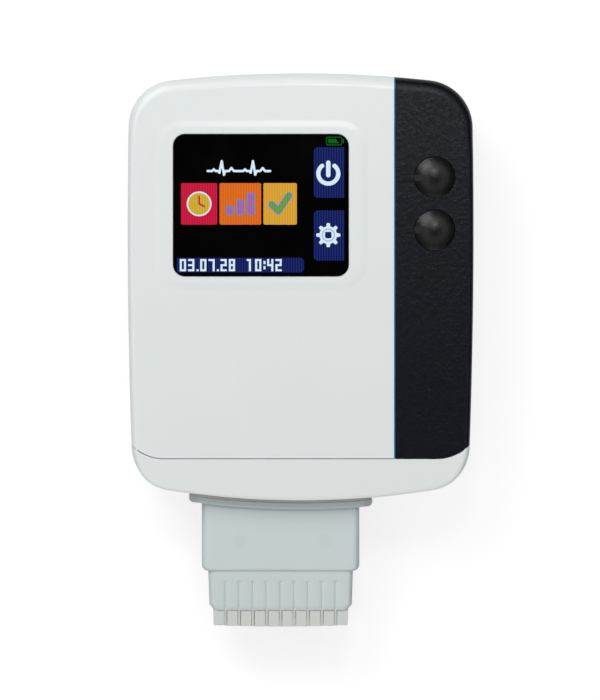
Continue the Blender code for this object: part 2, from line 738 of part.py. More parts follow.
def window_outline(margin):
    """The display window's outline, grown by margin."""
    return rounded_outline(
        WINDOW_WIDTH + 2 * margin,
        WINDOW_LENGTH + 2 * margin,
        WINDOW_ROUNDING + margin,
        (WINDOW_X, WINDOW_Y),
    )


def surround_mesh():
    """The low raised contour round the window, with a soft edge."""
    rings = [(0.0, CASE_DEPTH - COVER_WALL / 2)]
    for inset_share, rise_share in SURROUND_EDGE_SHARES:
        rings.append((inset_share * SURROUND_EDGE, CASE_DEPTH + rise_share * SURROUND_RISE))
    lofted = []
    for inset, height in rings:
        outline = rounded_outline(
            WINDOW_WIDTH + 2 * (SURROUND_MARGIN_X - inset),
            WINDOW_LENGTH + 2 * (SURROUND_MARGIN_Y - inset),
            SURROUND_ROUNDING - inset,
            (WINDOW_X, WINDOW_Y),
        )
        lofted.append(level_ring(outline, height))
    return loft_mesh("surround", lofted)


def front_cover():
    """White half shell, stepped down on the right where the grip panel lies on it."""
    cover = piece("front_cover", case_mesh("front_cover"), WHITE)
    step_down = cutter(
        "panel_step",
        box_mesh(
            "panel_step",
            [((STRIP_LEFT, -CASE_LENGTH, -OVERRUN), (CASE_WIDTH, CASE_LENGTH, CASE_DEPTH + OVERRUN))],
        ),
    )
    cut(step_down, cutter("panel_bed", case_mesh("panel_bed", PANEL_THICKNESS + FIT_GAP)))
    cavity = cutter("front_cavity", case_mesh("front_cavity", COVER_WALL))
    bosses = drum_mesh("front_bosses", CASE_SCREW_PLACES, FRONT_BOSS_RADIUS, 0, CASE_DEPTH)
    cut(cavity, cutter("front_bosses", bosses))
    cut(cover, BEHIND_PARTING, step_down, cavity)
    add(cover, cutter("surround", surround_mesh()))
    high = CASE_DEPTH + OVERRUN
    rebate = plate_mesh("window_rebate", [window_outline(FIT_GAP)], WINDOW_SEAT, high)
    opening = plate_mesh("window_opening", [window_outline(-WINDOW_LEDGE)], PARTING, high)
    cut(cover, cutter("window_rebate", rebate), cutter("window_opening", opening))
    pilot_top = CASE_SCREW_SEAT + CASE_SCREW_LENGTH + FIT_GAP
    pilots = drum_mesh("front_pilots", CASE_SCREW_PLACES, SCREW_HOLE_RADIUS, 0, pilot_top)
    cut(cover, cutter("front_pilots", pilots), BUTTON_HOLES, BEYOND_SEAM)


def button_holes():
    places = [(BUTTON_X, y) for _, y, _ in BUTTONS]
    high = CASE_DEPTH + OVERRUN
    mesh = drum_mesh("button_holes", places, HOLE_RADIUS, PARTING, high, BUTTON_STEPS)
    return cutter("button_holes", mesh)


BUTTON_HOLES = button_holes()


def grip_panel():
    """Charcoal skin over the right front and side, with a leader ridge to each button."""
    panel = piece("grip_panel", case_mesh("grip_panel"), CHARCOAL)
    side = box_mesh(
        "panel_side",
        [((PANEL_LEFT, -CASE_LENGTH, -OVERRUN), (CASE_WIDTH, CASE_LENGTH, CASE_DEPTH + OVERRUN))],
    )
    keep(panel, cutter("panel_side", side))
    cut(panel, PANEL_CORE, BEHIND_PARTING)
    for name, y, drop in BUTTONS:
        ridge_name = f"{name}_leader"
        left = PANEL_LEFT + LEADER_RISE / 2
        low = (left, y - drop - LEADER_WIDTH / 2, CASE_DEPTH - PANEL_THICKNESS / 2)
        high = (BUTTON_X, y - drop + LEADER_WIDTH / 2, CASE_DEPTH + LEADER_RISE)
        ridge = cutter(ridge_name, box_mesh(ridge_name, [(low, high)]))
        soften(ridge, LEADER_RISE / 2, 2)
        add(panel, ridge)
    cut(panel, BUTTON_HOLES, BEYOND_SEAM)


def accent_strip():
    """Thin blue trim that fills the joint between the cover and the grip panel."""
    strip = piece("accent_strip", case_mesh("accent_strip"), BLUE)
    slice_mesh = box_mesh(
        "strip_slice",
        [((STRIP_LEFT, -CASE_LENGTH, -OVERRUN), (PANEL_LEFT, CASE_LENGTH, CASE_DEPTH + OVERRUN))],
    )
    keep(strip, cutter("strip_slice", slice_mesh))
    cut(strip, PANEL_CORE, BEHIND_PARTING, BEYOND_SEAM)


PANEL_CORE = cutter("panel_core", case_mesh("panel_core", PANEL_THICKNESS))


def display_window():
    """Glossy pane with a fine chamfer, and the gasket that it lies on."""
    top = WINDOW_TOP
    rings = (
        (window_outline(0.0), top - WINDOW_THICKNESS),
        (window_outline(0.0), top - WINDOW_CHAMFER),
        (window_outline(-WINDOW_CHAMFER), top),
    )
    mesh = loft_mesh("display_window", [level_ring(outline, height) for outline, height in rings])
    piece("display_window", mesh, PANE)
    seat = WINDOW_SEAT + FIT_GAP
    ring = plate_mesh("window_gasket", [window_outline(-FIT_GAP)], seat, seat + WINDOW_GASKET)
    gasket = piece("window_gasket", ring, SEAL)
    inside = window_outline(FIT_GAP - WINDOW_LEDGE)
    cut(gasket, cutter("gasket_inside", plate_mesh("gasket_inside", [inside], PARTING, CASE_DEPTH)))


def display_module():
    """Display panel under the window, its legged frame on the board, and its flex."""
    half_x, half_y = DISPLAY_WIDTH / 2, DISPLAY_LENGTH / 2
    centre = (WINDOW_X, WINDOW_Y, 0)
    panel_top = DISPLAY_LEVEL + DISPLAY_THICKNESS
    panel = box_mesh("display_panel", [((-half_x, -half_y, DISPLAY_LEVEL), (half_x, half_y, panel_top))])
    piece("display_panel", panel, PANE, centre)

    low, high = BOARD_FACE + FIT_GAP, DISPLAY_LEVEL - FIT_GAP
    frame_mesh = box_mesh("display_frame", [((-half_x, -half_y, low), (half_x, half_y, high))])
    frame = piece("display_frame", frame_mesh, BLACK_PLASTIC, centre)
    inner_x, inner_y = half_x - FRAME_WALL, half_y - FRAME_WALL
    leg_x, leg_y = half_x - FRAME_LEG, half_y - FRAME_LEG
    openings = (
        ("frame_inside", (inner_x, inner_y, high + OVERRUN)),
        ("frame_sides", (half_x + OVERRUN, leg_y, high - FRAME_RING)),
        ("frame_ends", (leg_x, half_y + OVERRUN, high - FRAME_RING)),
    )
    for name, (reach_x, reach_y, top) in openings:
        mesh = box_mesh(name, [((-reach_x, -reach_y, low - OVERRUN), (reach_x, reach_y, top))])
        cut(frame, cutter(name, mesh, centre))

    edge = WINDOW_Y - half_y
    level = DISPLAY_LEVEL + DISPLAY_THICKNESS / 2
    entry = BOARD_FACE + CONNECTOR_HEIGHT / 2 + FIT_GAP
    upper_bend = (FLEX_DROP_Y + FLEX_BEND, level - FLEX_BEND)
    lower_bend = (FLEX_DROP_Y - FLEX_BEND, entry + FLEX_BEND)
    path = [(edge - FIT_GAP, level)]
    path += arc(upper_bend, FLEX_BEND, QUARTER, 2 * QUARTER, ROUNDING_STEPS)
    path += arc(lower_bend, FLEX_BEND, -QUARTER, 0.0, ROUNDING_STEPS)[::-1]
    path += [(CONNECTOR_HIGH_Y - FLEX_PLUG_LENGTH, entry)]
    ribbon = [ribbon_outline(path, FLEX_THICKNESS)]
    band = plate_mesh("display_flex", ribbon, -FLEX_WIDTH / 2, FLEX_WIDTH / 2)
    piece("display_flex", band, AMBER_FLEX, (WINDOW_X, 0, 0), None, (QUARTER, 0, QUARTER))

    at = (WINDOW_X, CONNECTOR_HIGH_Y, 0)
    low = (-CONNECTOR_WIDTH / 2, -CONNECTOR_LENGTH, BOARD_FACE + FIT_GAP)
    high = (CONNECTOR_WIDTH / 2, 0, BOARD_FACE + FIT_GAP + CONNECTOR_HEIGHT)
    connector = piece("flex_connector", box_mesh("flex_connector", [(low, high)]), BLACK_PLASTIC, at)
    reach = FLEX_WIDTH / 2 + FIT_GAP
    slot_low = (-reach, -FLEX_PLUG_LENGTH - FIT_GAP, entry - FLEX_THICKNESS)
    slot_high = (reach, OVERRUN, entry + FLEX_THICKNESS)
    cut(connector, cutter("flex_slot", box_mesh("flex_slot", [(slot_low, slot_high)]), at))


def push_button(name, y, drop):
    """Convex button that slides down its axis onto the plunger of its switch."""
    axis = empty(f"{name}_button_axis", (BUTTON_X, y, CASE_DEPTH), CASE)
    dome_radius = (BUTTON_RADIUS**2 + DOME_RISE**2) / (2 * DOME_RISE)
    dome_turn = math.asin(BUTTON_RADIUS / dome_radius)
    dome = []
    for step in range(DOME_STEPS + 1):
        turn = dome_turn * step / DOME_STEPS
        dome.append((dome_radius * math.sin(turn), DOME_RISE - dome_radius * (1 - math.cos(turn))))
    flange_top = BUTTON_FLANGE_TOP - CASE_DEPTH
    flange_low = flange_top - BUTTON_FLANGE_THICKNESS
    foot = STEM_LEVEL - CASE_DEPTH
    flange_radius = BUTTON_RADIUS + BUTTON_FLANGE_REACH
    profile = dome + [
        (BUTTON_RADIUS, flange_top),
        (flange_radius, flange_top),
        (flange_radius, flange_low),
        (BUTTON_STEM_RADIUS, flange_low),
        (BUTTON_STEM_RADIUS, foot),
        (0, foot),
    ]
    button = piece(f"{name}_button", profile_mesh(f"{name}_button", profile), BLACK_PLASTIC, parent=axis)
    turn_profile(button, BUTTON_STEPS)

    # The flange is cut flat beside the case's side wall
    flat_name = f"{name}_button_flat"
    flat_low = (BUTTON_RADIUS, -2 * BUTTON_RADIUS, foot)
    flat_high = (2 * BUTTON_RADIUS, 2 * BUTTON_RADIUS, DOME_RISE)
    cut(button, cutter(flat_name, box_mesh(flat_name, [(flat_low, flat_high)]), parent=axis))

    # The leader ridge runs on over the edge of the dome
    crown_name = f"{name}_button_ridge"
    crown_profile = [(x - FIT_GAP * x / BUTTON_RADIUS, z + LEADER_RISE) for x, z in dome]
    crown_profile += [(BUTTON_RADIUS - FIT_GAP, -DOME_RISE), (0, -DOME_RISE)]
    crown = cutter(crown_name, profile_mesh(crown_name, crown_profile), parent=axis)
    turn_profile(crown, BUTTON_STEPS)
    bar_name = f"{name}_button_bar"
    bar_low = (-2 * BUTTON_RADIUS, -drop - LEADER_WIDTH / 2, -DOME_RISE / 2)
    bar_high = (LEADER_REACH - BUTTON_RADIUS, LEADER_WIDTH / 2 - drop, 2 * DOME_RISE)
    keep(crown, cutter(bar_name, box_mesh(bar_name, [(bar_low, bar_high)]), parent=axis))
    add(button, crown)

    place_on_board = (BUTTON_X, y, 0)
    half = SWITCH_SIDE / 2
    low, high = (-half, -half, BOARD_FACE + FIT_GAP), (half, half, SWITCH_TOP)
    body_name = f"{name}_switch_housing"
    body = piece(body_name, box_mesh(body_name, [(low, high)]), BLACK_PLASTIC, place_on_board)
    bore_name = f"{name}_switch_bore"
    bore_low = SWITCH_TOP - SWITCH_PLUNGER_SINK - BUTTON_TRAVEL - FIT_GAP
    bore = drum_mesh(bore_name, [(0, 0)], SWITCH_PLUNGER_RADIUS + FIT_GAP, bore_low, SWITCH_TOP + OVERRUN)
    cut(body, cutter(bore_name, bore, place_on_board))
    plunger_name = f"{name}_switch_plunger"
    plunger_low = SWITCH_TOP - SWITCH_PLUNGER_SINK - CASE_DEPTH
    plunger_high = SWITCH_TOP + SWITCH_PLUNGER_RISE - CASE_DEPTH
    plunger = drum_mesh(plunger_name, [(0, 0)], SWITCH_PLUNGER_RADIUS, plunger_low, plunger_high)
    piece(plunger_name, plunger, PLUG_GREY, parent=axis)


# Rear of the case


def door_form(gap_side, gap_end, gap_top, low):
    """The door's plate and side tongues, grown by the gaps, as boxes that run out of the top end."""
    reach = DOOR_HALF + DOOR_TONGUE_REACH + gap_side
    start = DOOR_LOW_Y - gap_end
    tongue_low = DOOR_THICKNESS - DOOR_TONGUE_THICKNESS - gap_top
    top = DOOR_THICKNESS + gap_top
    plate = ((-DOOR_HALF - gap_side, start, low), (DOOR_HALF + gap_side, CASE_LENGTH, top))
    tongues = ((-reach, start, tongue_low), (reach, CASE_LENGTH, top))
    return plate, tongues


def rear_cavity():
    """The hollow of the rear cover, less the battery bay, bosses and posts that stand in it."""
    cavity = cutter("rear_cavity", case_mesh("rear_cavity", COVER_WALL))
    bay_x = DOOR_HALF + DOOR_TONGUE_REACH + RUNNING_GAP + BAY_WALL
    bay_y = DOOR_LOW_Y - RUNNING_GAP - BAY_WALL
    bay = box_mesh("bay_block", [((-bay_x, bay_y, -OVERRUN), (bay_x, CASE_LENGTH, BAY_TOP + BAY_WALL))])
    bosses = drum_mesh("rear_bosses", CASE_SCREW_PLACES, REAR_BOSS_RADIUS, 0, CASE_DEPTH)
    posts = drum_mesh("board_posts", BOARD_SCREW_PLACES, POST_RADIUS, 0, BOARD_LEVEL - FIT_GAP)
    cut(cavity, cutter("bay_block", bay), cutter("rear_bosses", bosses), cutter("board_posts", posts))

    # Posts for the end cap's screws lie along y on pedestals that clear the end cap's lip
    post_far = SEAM_Y + END_POST_LENGTH
    pedestals = []
    for x in END_SCREW_PLACES:
        low = (x - POST_RADIUS, SEAM_Y + LIP_REACH + RUNNING_GAP, 0)
        pedestals.append((low, (x + POST_RADIUS, post_far, END_SCREW_HEIGHT)))
    places = [(x, END_SCREW_HEIGHT) for x in END_SCREW_PLACES]
    lying = drum_mesh("end_posts", places, POST_RADIUS, -post_far, -SEAM_Y)
    cut(cavity, cutter("end_posts", lying, rotation=(QUARTER, 0, 0)))
    cut(cavity, cutter("end_pedestals", box_mesh("end_pedestals", pedestals)))
    return cavity


def rear_cover():
    """White half shell with the battery bay, the door's channel, and bosses and posts inside."""
    cover = piece("rear_cover", case_mesh("rear_cover"), WHITE)
    cut(cover, AHEAD_OF_PARTING, rear_cavity())

    bay_low = (-BAY_HALF, BAY_LOW_Y, -OVERRUN)
    bay = box_mesh("battery_bay", [(bay_low, (BAY_HALF, BAY_HIGH_Y, BAY_TOP))])
    cut(cover, cutter("battery_bay", bay))
    channel_boxes = door_form(RUNNING_GAP, RUNNING_GAP, RUNNING_GAP / 2, -OVERRUN)
    for number, box in enumerate(channel_boxes):
        name = f"door_channel_{number + 1}"
        cut(cover, cutter(name, box_mesh(name, [box])))
    tail_x = CONTACT_WIDTH / 2 + FIT_GAP
    tail_y = BAY_LOW_Y + FIT_GAP + CONTACT_TAIL + FIT_GAP
    tail_low = (-tail_x, BAY_LOW_Y, BAY_TOP - BAY_WALL)
    tail_slot = box_mesh("tail_slot", [(tail_low, (tail_x, tail_y, CASE_DEPTH))])
    cut(cover, cutter("tail_slot", tail_slot))

    heads = drum_mesh("head_holes", CASE_SCREW_PLACES, HEAD_HOLE_RADIUS, -OVERRUN, CASE_SCREW_SEAT)
    shanks = drum_mesh("shank_holes", CASE_SCREW_PLACES, SCREW_HOLE_RADIUS, 0, CASE_DEPTH)
    post_holes = drum_mesh(
        "board_post_holes",
        BOARD_SCREW_PLACES,
        SCREW_HOLE_RADIUS,
        BOARD_FACE - BOARD_SCREW_LENGTH - FIT_GAP,
        CASE_DEPTH,
    )
    cut(cover, cutter("head_holes", heads), cutter("shank_holes", shanks))
    cut(cover, cutter("board_post_holes", post_holes))
    screw_far = CASE_END + END_SCREW_SEAT + END_SCREW_LENGTH + FIT_GAP
    places = [(x, END_SCREW_HEIGHT) for x in END_SCREW_PLACES]
    lying = drum_mesh("end_post_holes", places, SCREW_HOLE_RADIUS, -screw_far, -CASE_END)
    cut(cover, cutter("end_post_holes", lying, rotation=(QUARTER, 0, 0)))

    groove = case_seal_ring("case_seal_groove", FIT_GAP, PARTING - SEAM_GAP / 2 - SEAL_GROOVE, CASE_DEPTH)
    cut(cover, groove, BEYOND_SEAM)


def case_seal_ring(name, grow, low, high):
    """A ring in the middle of the rear cover's rim, grown by a gap on both sides."""
    inset = (COVER_WALL - SEAL_WIDTH) / 2
    outer = plate_mesh(name, [case_outline(inset - grow)], low, high)
    inner_name = f"{name}_inside"
    core = [case_outline(inset + SEAL_WIDTH + grow)]
    inner = plate_mesh(inner_name, core, low - OVERRUN, high + OVERRUN)
    ring = cutter(name, outer)
    cut(ring, cutter(inner_name, inner))
    return ring


def case_seal():
    """Rubber cord in the groove of the rear cover's rim, open at the end cap."""
    inset = (COVER_WALL - SEAL_WIDTH) / 2
    low, high = PARTING - SEAM_GAP / 2 - SEAL_GROOVE + FIT_GAP, PARTING + SEAM_GAP / 6
    seal = piece("case_seal", plate_mesh("case_seal", [case_outline(inset)], low, high), SEAL)
    core = [case_outline(inset + SEAL_WIDTH)]
    inside = plate_mesh("case_seal_inside", core, low - OVERRUN, high + OVERRUN)
    cut(seal, cutter("case_seal_inside", inside))
    cut(seal, seam_cutter("case_seal_end", -SEAM_GAP, True))


def case_screws():
    for number, (x, y) in enumerate(CASE_SCREW_PLACES):
        at = (x, y, CASE_SCREW_SEAT)
        hex_screw(f"case_screw_{number + 1}", CASE_SCREW_LENGTH, at, None, (2 * QUARTER, 0, 0))


def battery():
    """Flat battery pack in the bay, and the sprung contact block at its lower end."""
    low_z = DOOR_THICKNESS + RUNNING_GAP
    low = (-BATTERY_WIDTH / 2, BATTERY_LOW_Y, low_z)
    high = (BATTERY_WIDTH / 2, BATTERY_HIGH_Y, low_z + BATTERY_THICKNESS)
    pack = piece("battery_pack", box_mesh("battery_pack", [(low, high)]), BATTERY_BLUE)
    soften(pack, BATTERY_ROUNDING, 3)

    half = CONTACT_WIDTH / 2
    near = BAY_LOW_Y + FIT_GAP
    block_low = (-half, near, low_z)
    block_high = (half, near + CONTACT_THICKNESS - CONTACT_SPRING_RADIUS, BAY_TOP - FIT_GAP)
    block_mesh = box_mesh("battery_contact_block", [(block_low, block_high)])
    block = piece("battery_contact_block", block_mesh, BRASS)
    tail_high = (half, near + CONTACT_TAIL, BOARD_LEVEL - FIT_GAP)
    tail = box_mesh("contact_tail", [((-half, near, BAY_TOP - BAY_WALL), tail_high)])
    add(block, cutter("contact_tail", tail))
    places = [(share * CONTACT_WIDTH, block_high[1]) for share in CONTACT_SPRING_SHARES]
    springs = drum_mesh(
        "contact_springs",
        places,
        CONTACT_SPRING_RADIUS,
        low_z + BATTERY_ROUNDING,
        BAY_TOP - BATTERY_ROUNDING,
        SMALL_STEPS,
    )
    add(block, cutter("contact_springs", springs))


def battery_door():
    """Door flush with the back, with side tongues, that slides off over the top end."""
    axis = empty("battery_door_axis", (0, DOOR_LOW_Y, 0), CASE)
    door = piece("battery_door", case_mesh("battery_door"), WHITE, (0, -DOOR_LOW_Y, 0), axis)
    form = cutter("door_plate", box_mesh("door_plate", [door_form(0.0, 0.0, 0.0, -OVERRUN)[0]]))
    tongues = box_mesh("door_tongues", [door_form(0.0, 0.0, 0.0, -OVERRUN)[1]])
    add(form, cutter("door_tongues", tongues))
    keep(door, form)
    thumb_y = DOOR_LOW_Y + THUMB_DISTANCE
    dish = drum_mesh("thumb_recess", [(0, thumb_y)], THUMB_RADIUS, -OVERRUN, THUMB_DEPTH, THUMB_STEPS)
    thumb = cutter("thumb_recess", dish)
    ridges = []
    for step in (-1, 0, 1):
        y = thumb_y + step * THUMB_RIDGE_PITCH
        low = (-THUMB_RADIUS / 2, y - THUMB_RIDGE_WIDTH / 2, -2 * OVERRUN)
        ridges.append((low, (THUMB_RADIUS / 2, y + THUMB_RIDGE_WIDTH / 2, THUMB_DEPTH + OVERRUN)))
    cut(thumb, cutter("thumb_ridges", box_mesh("thumb_ridges", ridges)))
    cut(door, thumb)


# End cap


def rim_band(name, grow, near_shift, far_shift):
    """A band inside the end cap's rim, between two shifts of the seam."""
    outer_offset = (COVER_WALL - SEAL_WIDTH) / 2
    band = cutter(name, case_mesh(name, outer_offset - grow))
    cut(band, cutter(f"{name}_inside", case_mesh(f"{name}_inside", outer_offset + SEAL_WIDTH + grow)))
    cut(band, seam_cutter(f"{name}_near", near_shift, False), seam_cutter(f"{name}_far", far_shift, True))
    return band


def end_cap():
    """White end piece with the socket's opening, and a lip that reaches into the covers."""
    cap = piece("end_cap", case_mesh("end_cap"), WHITE)
    cavity = cutter("end_cavity", case_mesh("end_cavity", END_CAP_WALL))
    tube_far = SEAM_Y - SEAM_GAP / 2
    places = [(x, END_SCREW_HEIGHT) for x in END_SCREW_PLACES]
    tubes = drum_mesh("end_tubes", places, REAR_BOSS_RADIUS, -tube_far, -CASE_END)
    cut(cavity, cutter("end_tubes", tubes, rotation=(QUARTER, 0, 0)))

    around_lip = seam_cutter("around_lip", SEAM_GAP / 2, False)
    cut(around_lip, cutter("lip_core", case_mesh("lip_core", COVER_WALL + FIT_GAP)))
    cut(cap, BEFORE_LIP, around_lip, cavity)

    mouth_x, mouth_z = SOCKET_WIDTH / 2 + FIT_GAP, SOCKET_DEPTH / 2 + FIT_GAP
    mouth = box_mesh(
        "socket_mouth",
        [
            (
                (PLUG_X - mouth_x, CASE_END - OVERRUN, PLUG_HEIGHT - mouth_z),
                (PLUG_X + mouth_x, SEAM_Y, PLUG_HEIGHT + mouth_z),
            )
        ],
    )
    cut(cap, cutter("socket_mouth", mouth))
    seat = CASE_END + END_SCREW_SEAT
    heads = drum_mesh("end_head_holes", places, HEAD_HOLE_RADIUS, -seat, OVERRUN - CASE_END)
    shanks = drum_mesh("end_shank_holes", places, SCREW_HOLE_RADIUS, -SEAM_Y, -CASE_END)
    cut(cap, cutter("end_head_holes", heads, rotation=(QUARTER, 0, 0)))
    cut(cap, cutter("end_shank_holes", shanks, rotation=(QUARTER, 0, 0)))
    cut(cap, rim_band("end_seal_groove", FIT_GAP, -SEAM_GAP, SEAM_GAP / 2 + SEAL_GROOVE))


def end_cap_seal():
    """Rubber ring in the groove of the end cap's rim."""
    outer_offset = (COVER_WALL - SEAL_WIDTH) / 2
    seal = piece("end_cap_seal", case_mesh("end_cap_seal", outer_offset), SEAL)
    cut(seal, cutter("end_seal_inside", case_mesh("end_seal_inside", outer_offset + SEAL_WIDTH)))
    cut(seal, seam_cutter("end_seal_near", -SEAM_GAP / 6, False))
    cut(seal, seam_cutter("end_seal_far", SEAM_GAP / 2 + SEAL_GROOVE - FIT_GAP, True))


def end_cap_screws():
    for number, x in enumerate(END_SCREW_PLACES):
        at = (x, CASE_END + END_SCREW_SEAT, END_SCREW_HEIGHT)
        hex_screw(f"end_cap_screw_{number + 1}", END_SCREW_LENGTH, at, None, (QUARTER, 0, 0))


# Main board


def main_board():
    """T-shaped board whose tab reaches the patient socket."""
    tab = BOARD_TAB_WIDTH / 2
    tab_y = SOCKET_BACK_Y + FIT_GAP
    outline = [
        (BOARD_HALF, BOARD_HIGH_Y),
        (-BOARD_HALF, BOARD_HIGH_Y),
        (-BOARD_HALF, BOARD_LOW_Y),
        (PLUG_X - tab, BOARD_LOW_Y),
        (PLUG_X - tab, tab_y),
        (PLUG_X + tab, tab_y),
        (PLUG_X + tab, BOARD_LOW_Y),
        (BOARD_HALF, BOARD_LOW_Y),
    ]
    board = piece("main_board", plate_mesh("main_board", [outline], BOARD_LEVEL, BOARD_FACE), BOARD_GREEN)
    holes = drum_mesh("board_holes", BOARD_SCREW_PLACES, SCREW_HOLE_RADIUS, BAY_TOP, CASE_DEPTH)
    cut(board, cutter("board_holes", holes))
    for number, (x, y) in enumerate(BOARD_SCREW_PLACES):
        hex_screw(f"board_screw_{number + 1}", BOARD_SCREW_LENGTH, (x, y, BOARD_FACE + FIT_GAP))


def chip(name, size, x, y):
    low = (-size[0] / 2, -size[1] / 2, 0)
    high = (size[0] / 2, size[1] / 2, size[2])
    body = piece(name, box_mesh(name, [(low, high)]), CHIP_BLACK, (x, y, BOARD_FACE + FIT_GAP))
    soften(body, CHIP_CHAMFER)


def component_row():
    """Clock cell, card socket, amplifier chip and shield can, in a row from the right."""
    cell_side = 2 * (CELL_RADIUS + FIT_GAP + CELL_HOLDER_WALL)
    card_side = CARD_SIZE[0] + 2 * (FIT_GAP + CARD_SOCKET_WALL)
    row = (
        (clock_cell, cell_side),
        (card_socket, card_side),
        (amplifier_chip, AMPLIFIER_SIZE[0]),
        (shield_can, SHIELD_SIZE[0]),
    )
    right = BOARD_HALF - 2 * BOARD_SCREW_INSET - COMPONENT_GAP
    for make, width in row:
        make(right - width / 2, width)
        right -= width + COMPONENT_GAP


def clock_cell(x, width):
    """Coin cell that keeps the clock running, in its open holder."""
    half = width / 2
    at = (x, ROW_HIGH_Y - half, BOARD_FACE + FIT_GAP)
    holder_mesh = box_mesh("cell_holder", [((-half, -half, 0), (half, half, CELL_HOLDER_HEIGHT))])
    holder = piece("cell_holder", holder_mesh, BLACK_PLASTIC, at)
    pocket_radius = CELL_RADIUS + FIT_GAP
    pocket_high = CELL_HOLDER_HEIGHT + OVERRUN
    pocket = drum_mesh("cell_pocket", [(0, 0)], pocket_radius, CELL_HOLDER_WALL, pocket_high)
    cut(holder, cutter("cell_pocket", pocket, at))
    low = CELL_HOLDER_WALL + FIT_GAP
    cell = drum_mesh("clock_cell", [(0, 0)], CELL_RADIUS, low, low + CELL_THICKNESS)
    piece("clock_cell", cell, STEEL, at)


def card_socket(x, width):
    """Sheet metal socket that is open to the lower end, with the memory card pushed in."""
    half_x, half_y = width / 2, CARD_SIZE[1] / 2
    at = (x, ROW_HIGH_Y - half_y, BOARD_FACE + FIT_GAP)
    height = CARD_SIZE[2] + 2 * (FIT_GAP + CARD_SOCKET_WALL)
    body_mesh = box_mesh("card_socket", [((-half_x, -half_y, 0), (half_x, half_y, height))])
    body = piece("card_socket", body_mesh, STEEL, at)
    reach = CARD_SIZE[0] / 2 + FIT_GAP
    slot_low = (-reach, -half_y - OVERRUN, CARD_SOCKET_WALL)
    slot_high = (reach, CARD_SOCKET_DEPTH - half_y, height - CARD_SOCKET_WALL)
    cut(body, cutter("card_slot", box_mesh("card_slot", [(slot_low, slot_high)]), at))
    back = CARD_SOCKET_DEPTH - half_y - FIT_GAP
    card_low = (-CARD_SIZE[0] / 2, back - CARD_SIZE[1], CARD_SOCKET_WALL + FIT_GAP)
    card_high = (CARD_SIZE[0] / 2, back, CARD_SOCKET_WALL + FIT_GAP + CARD_SIZE[2])
    piece("memory_card", box_mesh("memory_card", [(card_low, card_high)]), CHIP_BLACK, at)


def amplifier_chip(x, _width):
    chip("amplifier_chip", AMPLIFIER_SIZE, x, ROW_HIGH_Y - AMPLIFIER_SIZE[1] / 2)


def shield_can(x, _width):
    """Thin screening can over the radio, open towards the board."""
    half_x, half_y, height = SHIELD_SIZE[0] / 2, SHIELD_SIZE[1] / 2, SHIELD_SIZE[2]
    at = (x, ROW_HIGH_Y - half_y, BOARD_FACE + FIT_GAP)
    can_mesh = box_mesh("shield_can", [((-half_x, -half_y, 0), (half_x, half_y, height))])
    can = piece("shield_can", can_mesh, STEEL, at)
    inner_x, inner_y = half_x - SHIELD_WALL, half_y - SHIELD_WALL
    inside = box_mesh(
        "shield_inside",
        [((-inner_x, -inner_y, -OVERRUN), (inner_x, inner_y, height - SHIELD_WALL))],
    )
    cut(can, cutter("shield_inside", inside, at))


def patient_socket():
    """Socket that stands in the end cap's mouth, with a tail that seats on the board."""
    half_x, half_z = SOCKET_WIDTH / 2, SOCKET_DEPTH / 2
    at = (PLUG_X, 0, 0)
    body_low = (-half_x, SOCKET_FRONT_Y, PLUG_HEIGHT - half_z)
    body_high = (half_x, SOCKET_BACK_Y, PLUG_HEIGHT + half_z)
    body = piece("patient_socket", box_mesh("patient_socket", [(body_low, body_high)]), BLACK_PLASTIC, at)
    tail_x = half_x - SOCKET_TAIL_INSET
    tail_low = (-tail_x, SOCKET_BACK_Y - FIT_GAP, BOARD_FACE + FIT_GAP)
    tail_high = (tail_x, SOCKET_BACK_Y + SOCKET_TAIL_LENGTH, BOARD_FACE + FIT_GAP + SOCKET_TAIL_HEIGHT)
    add(body, cutter("socket_tail", box_mesh("socket_tail", [(tail_low, tail_high)]), at))
    reach_x, reach_z = TONGUE_WIDTH / 2 + RUNNING_GAP, TONGUE_DEPTH / 2 + RUNNING_GAP
    hollow_low = (-reach_x, SOCKET_FRONT_Y - OVERRUN, PLUG_HEIGHT - reach_z)
    hollow_high = (reach_x, SOCKET_FRONT_Y + SOCKET_CAVITY, PLUG_HEIGHT + reach_z)
    cut(body, cutter("socket_hollow", box_mesh("socket_hollow", [(hollow_low, hollow_high)]), at))


# Patient plug, in a frame whose z runs straight out of the case's end and y to the front


PLUG = empty("plug_axis", (PLUG_X, CASE_END, PLUG_HEIGHT), CASE, (QUARTER, 0, 0))


def plug_skin_mesh(name):
    """Block and nose as one loft, rounded at the shoulder and chamfered at the end."""
    sections = [(0.0, 0.0, -FLANGE_FAR)]
    for step in range(EDGE_STEPS + 1):
        turn = QUARTER * step / EDGE_STEPS
        inset = SHOULDER * (1 - math.cos(turn))
        sections.append((inset, inset, BLOCK_FAR - SHOULDER * (1 - math.sin(turn))))
    taper_end = SHOULDER + NOSE_TAPER
    sections.append((taper_end, taper_end, NOSE_FAR - NOSE_CHAMFER_LENGTH))
    sections.append((taper_end + NOSE_CHAMFER_WIDTH, taper_end + NOSE_CHAMFER_RISE, NOSE_FAR))
    rings = []
    for inset_x, inset_y, height in sections:
        width, depth = BLOCK_WIDTH - 2 * inset_x, BLOCK_DEPTH - 2 * inset_y
        rings.append(level_ring(rounded_outline(width, depth, BLOCK_CORNER_RADIUS), height))
    return loft_mesh(name, rings)


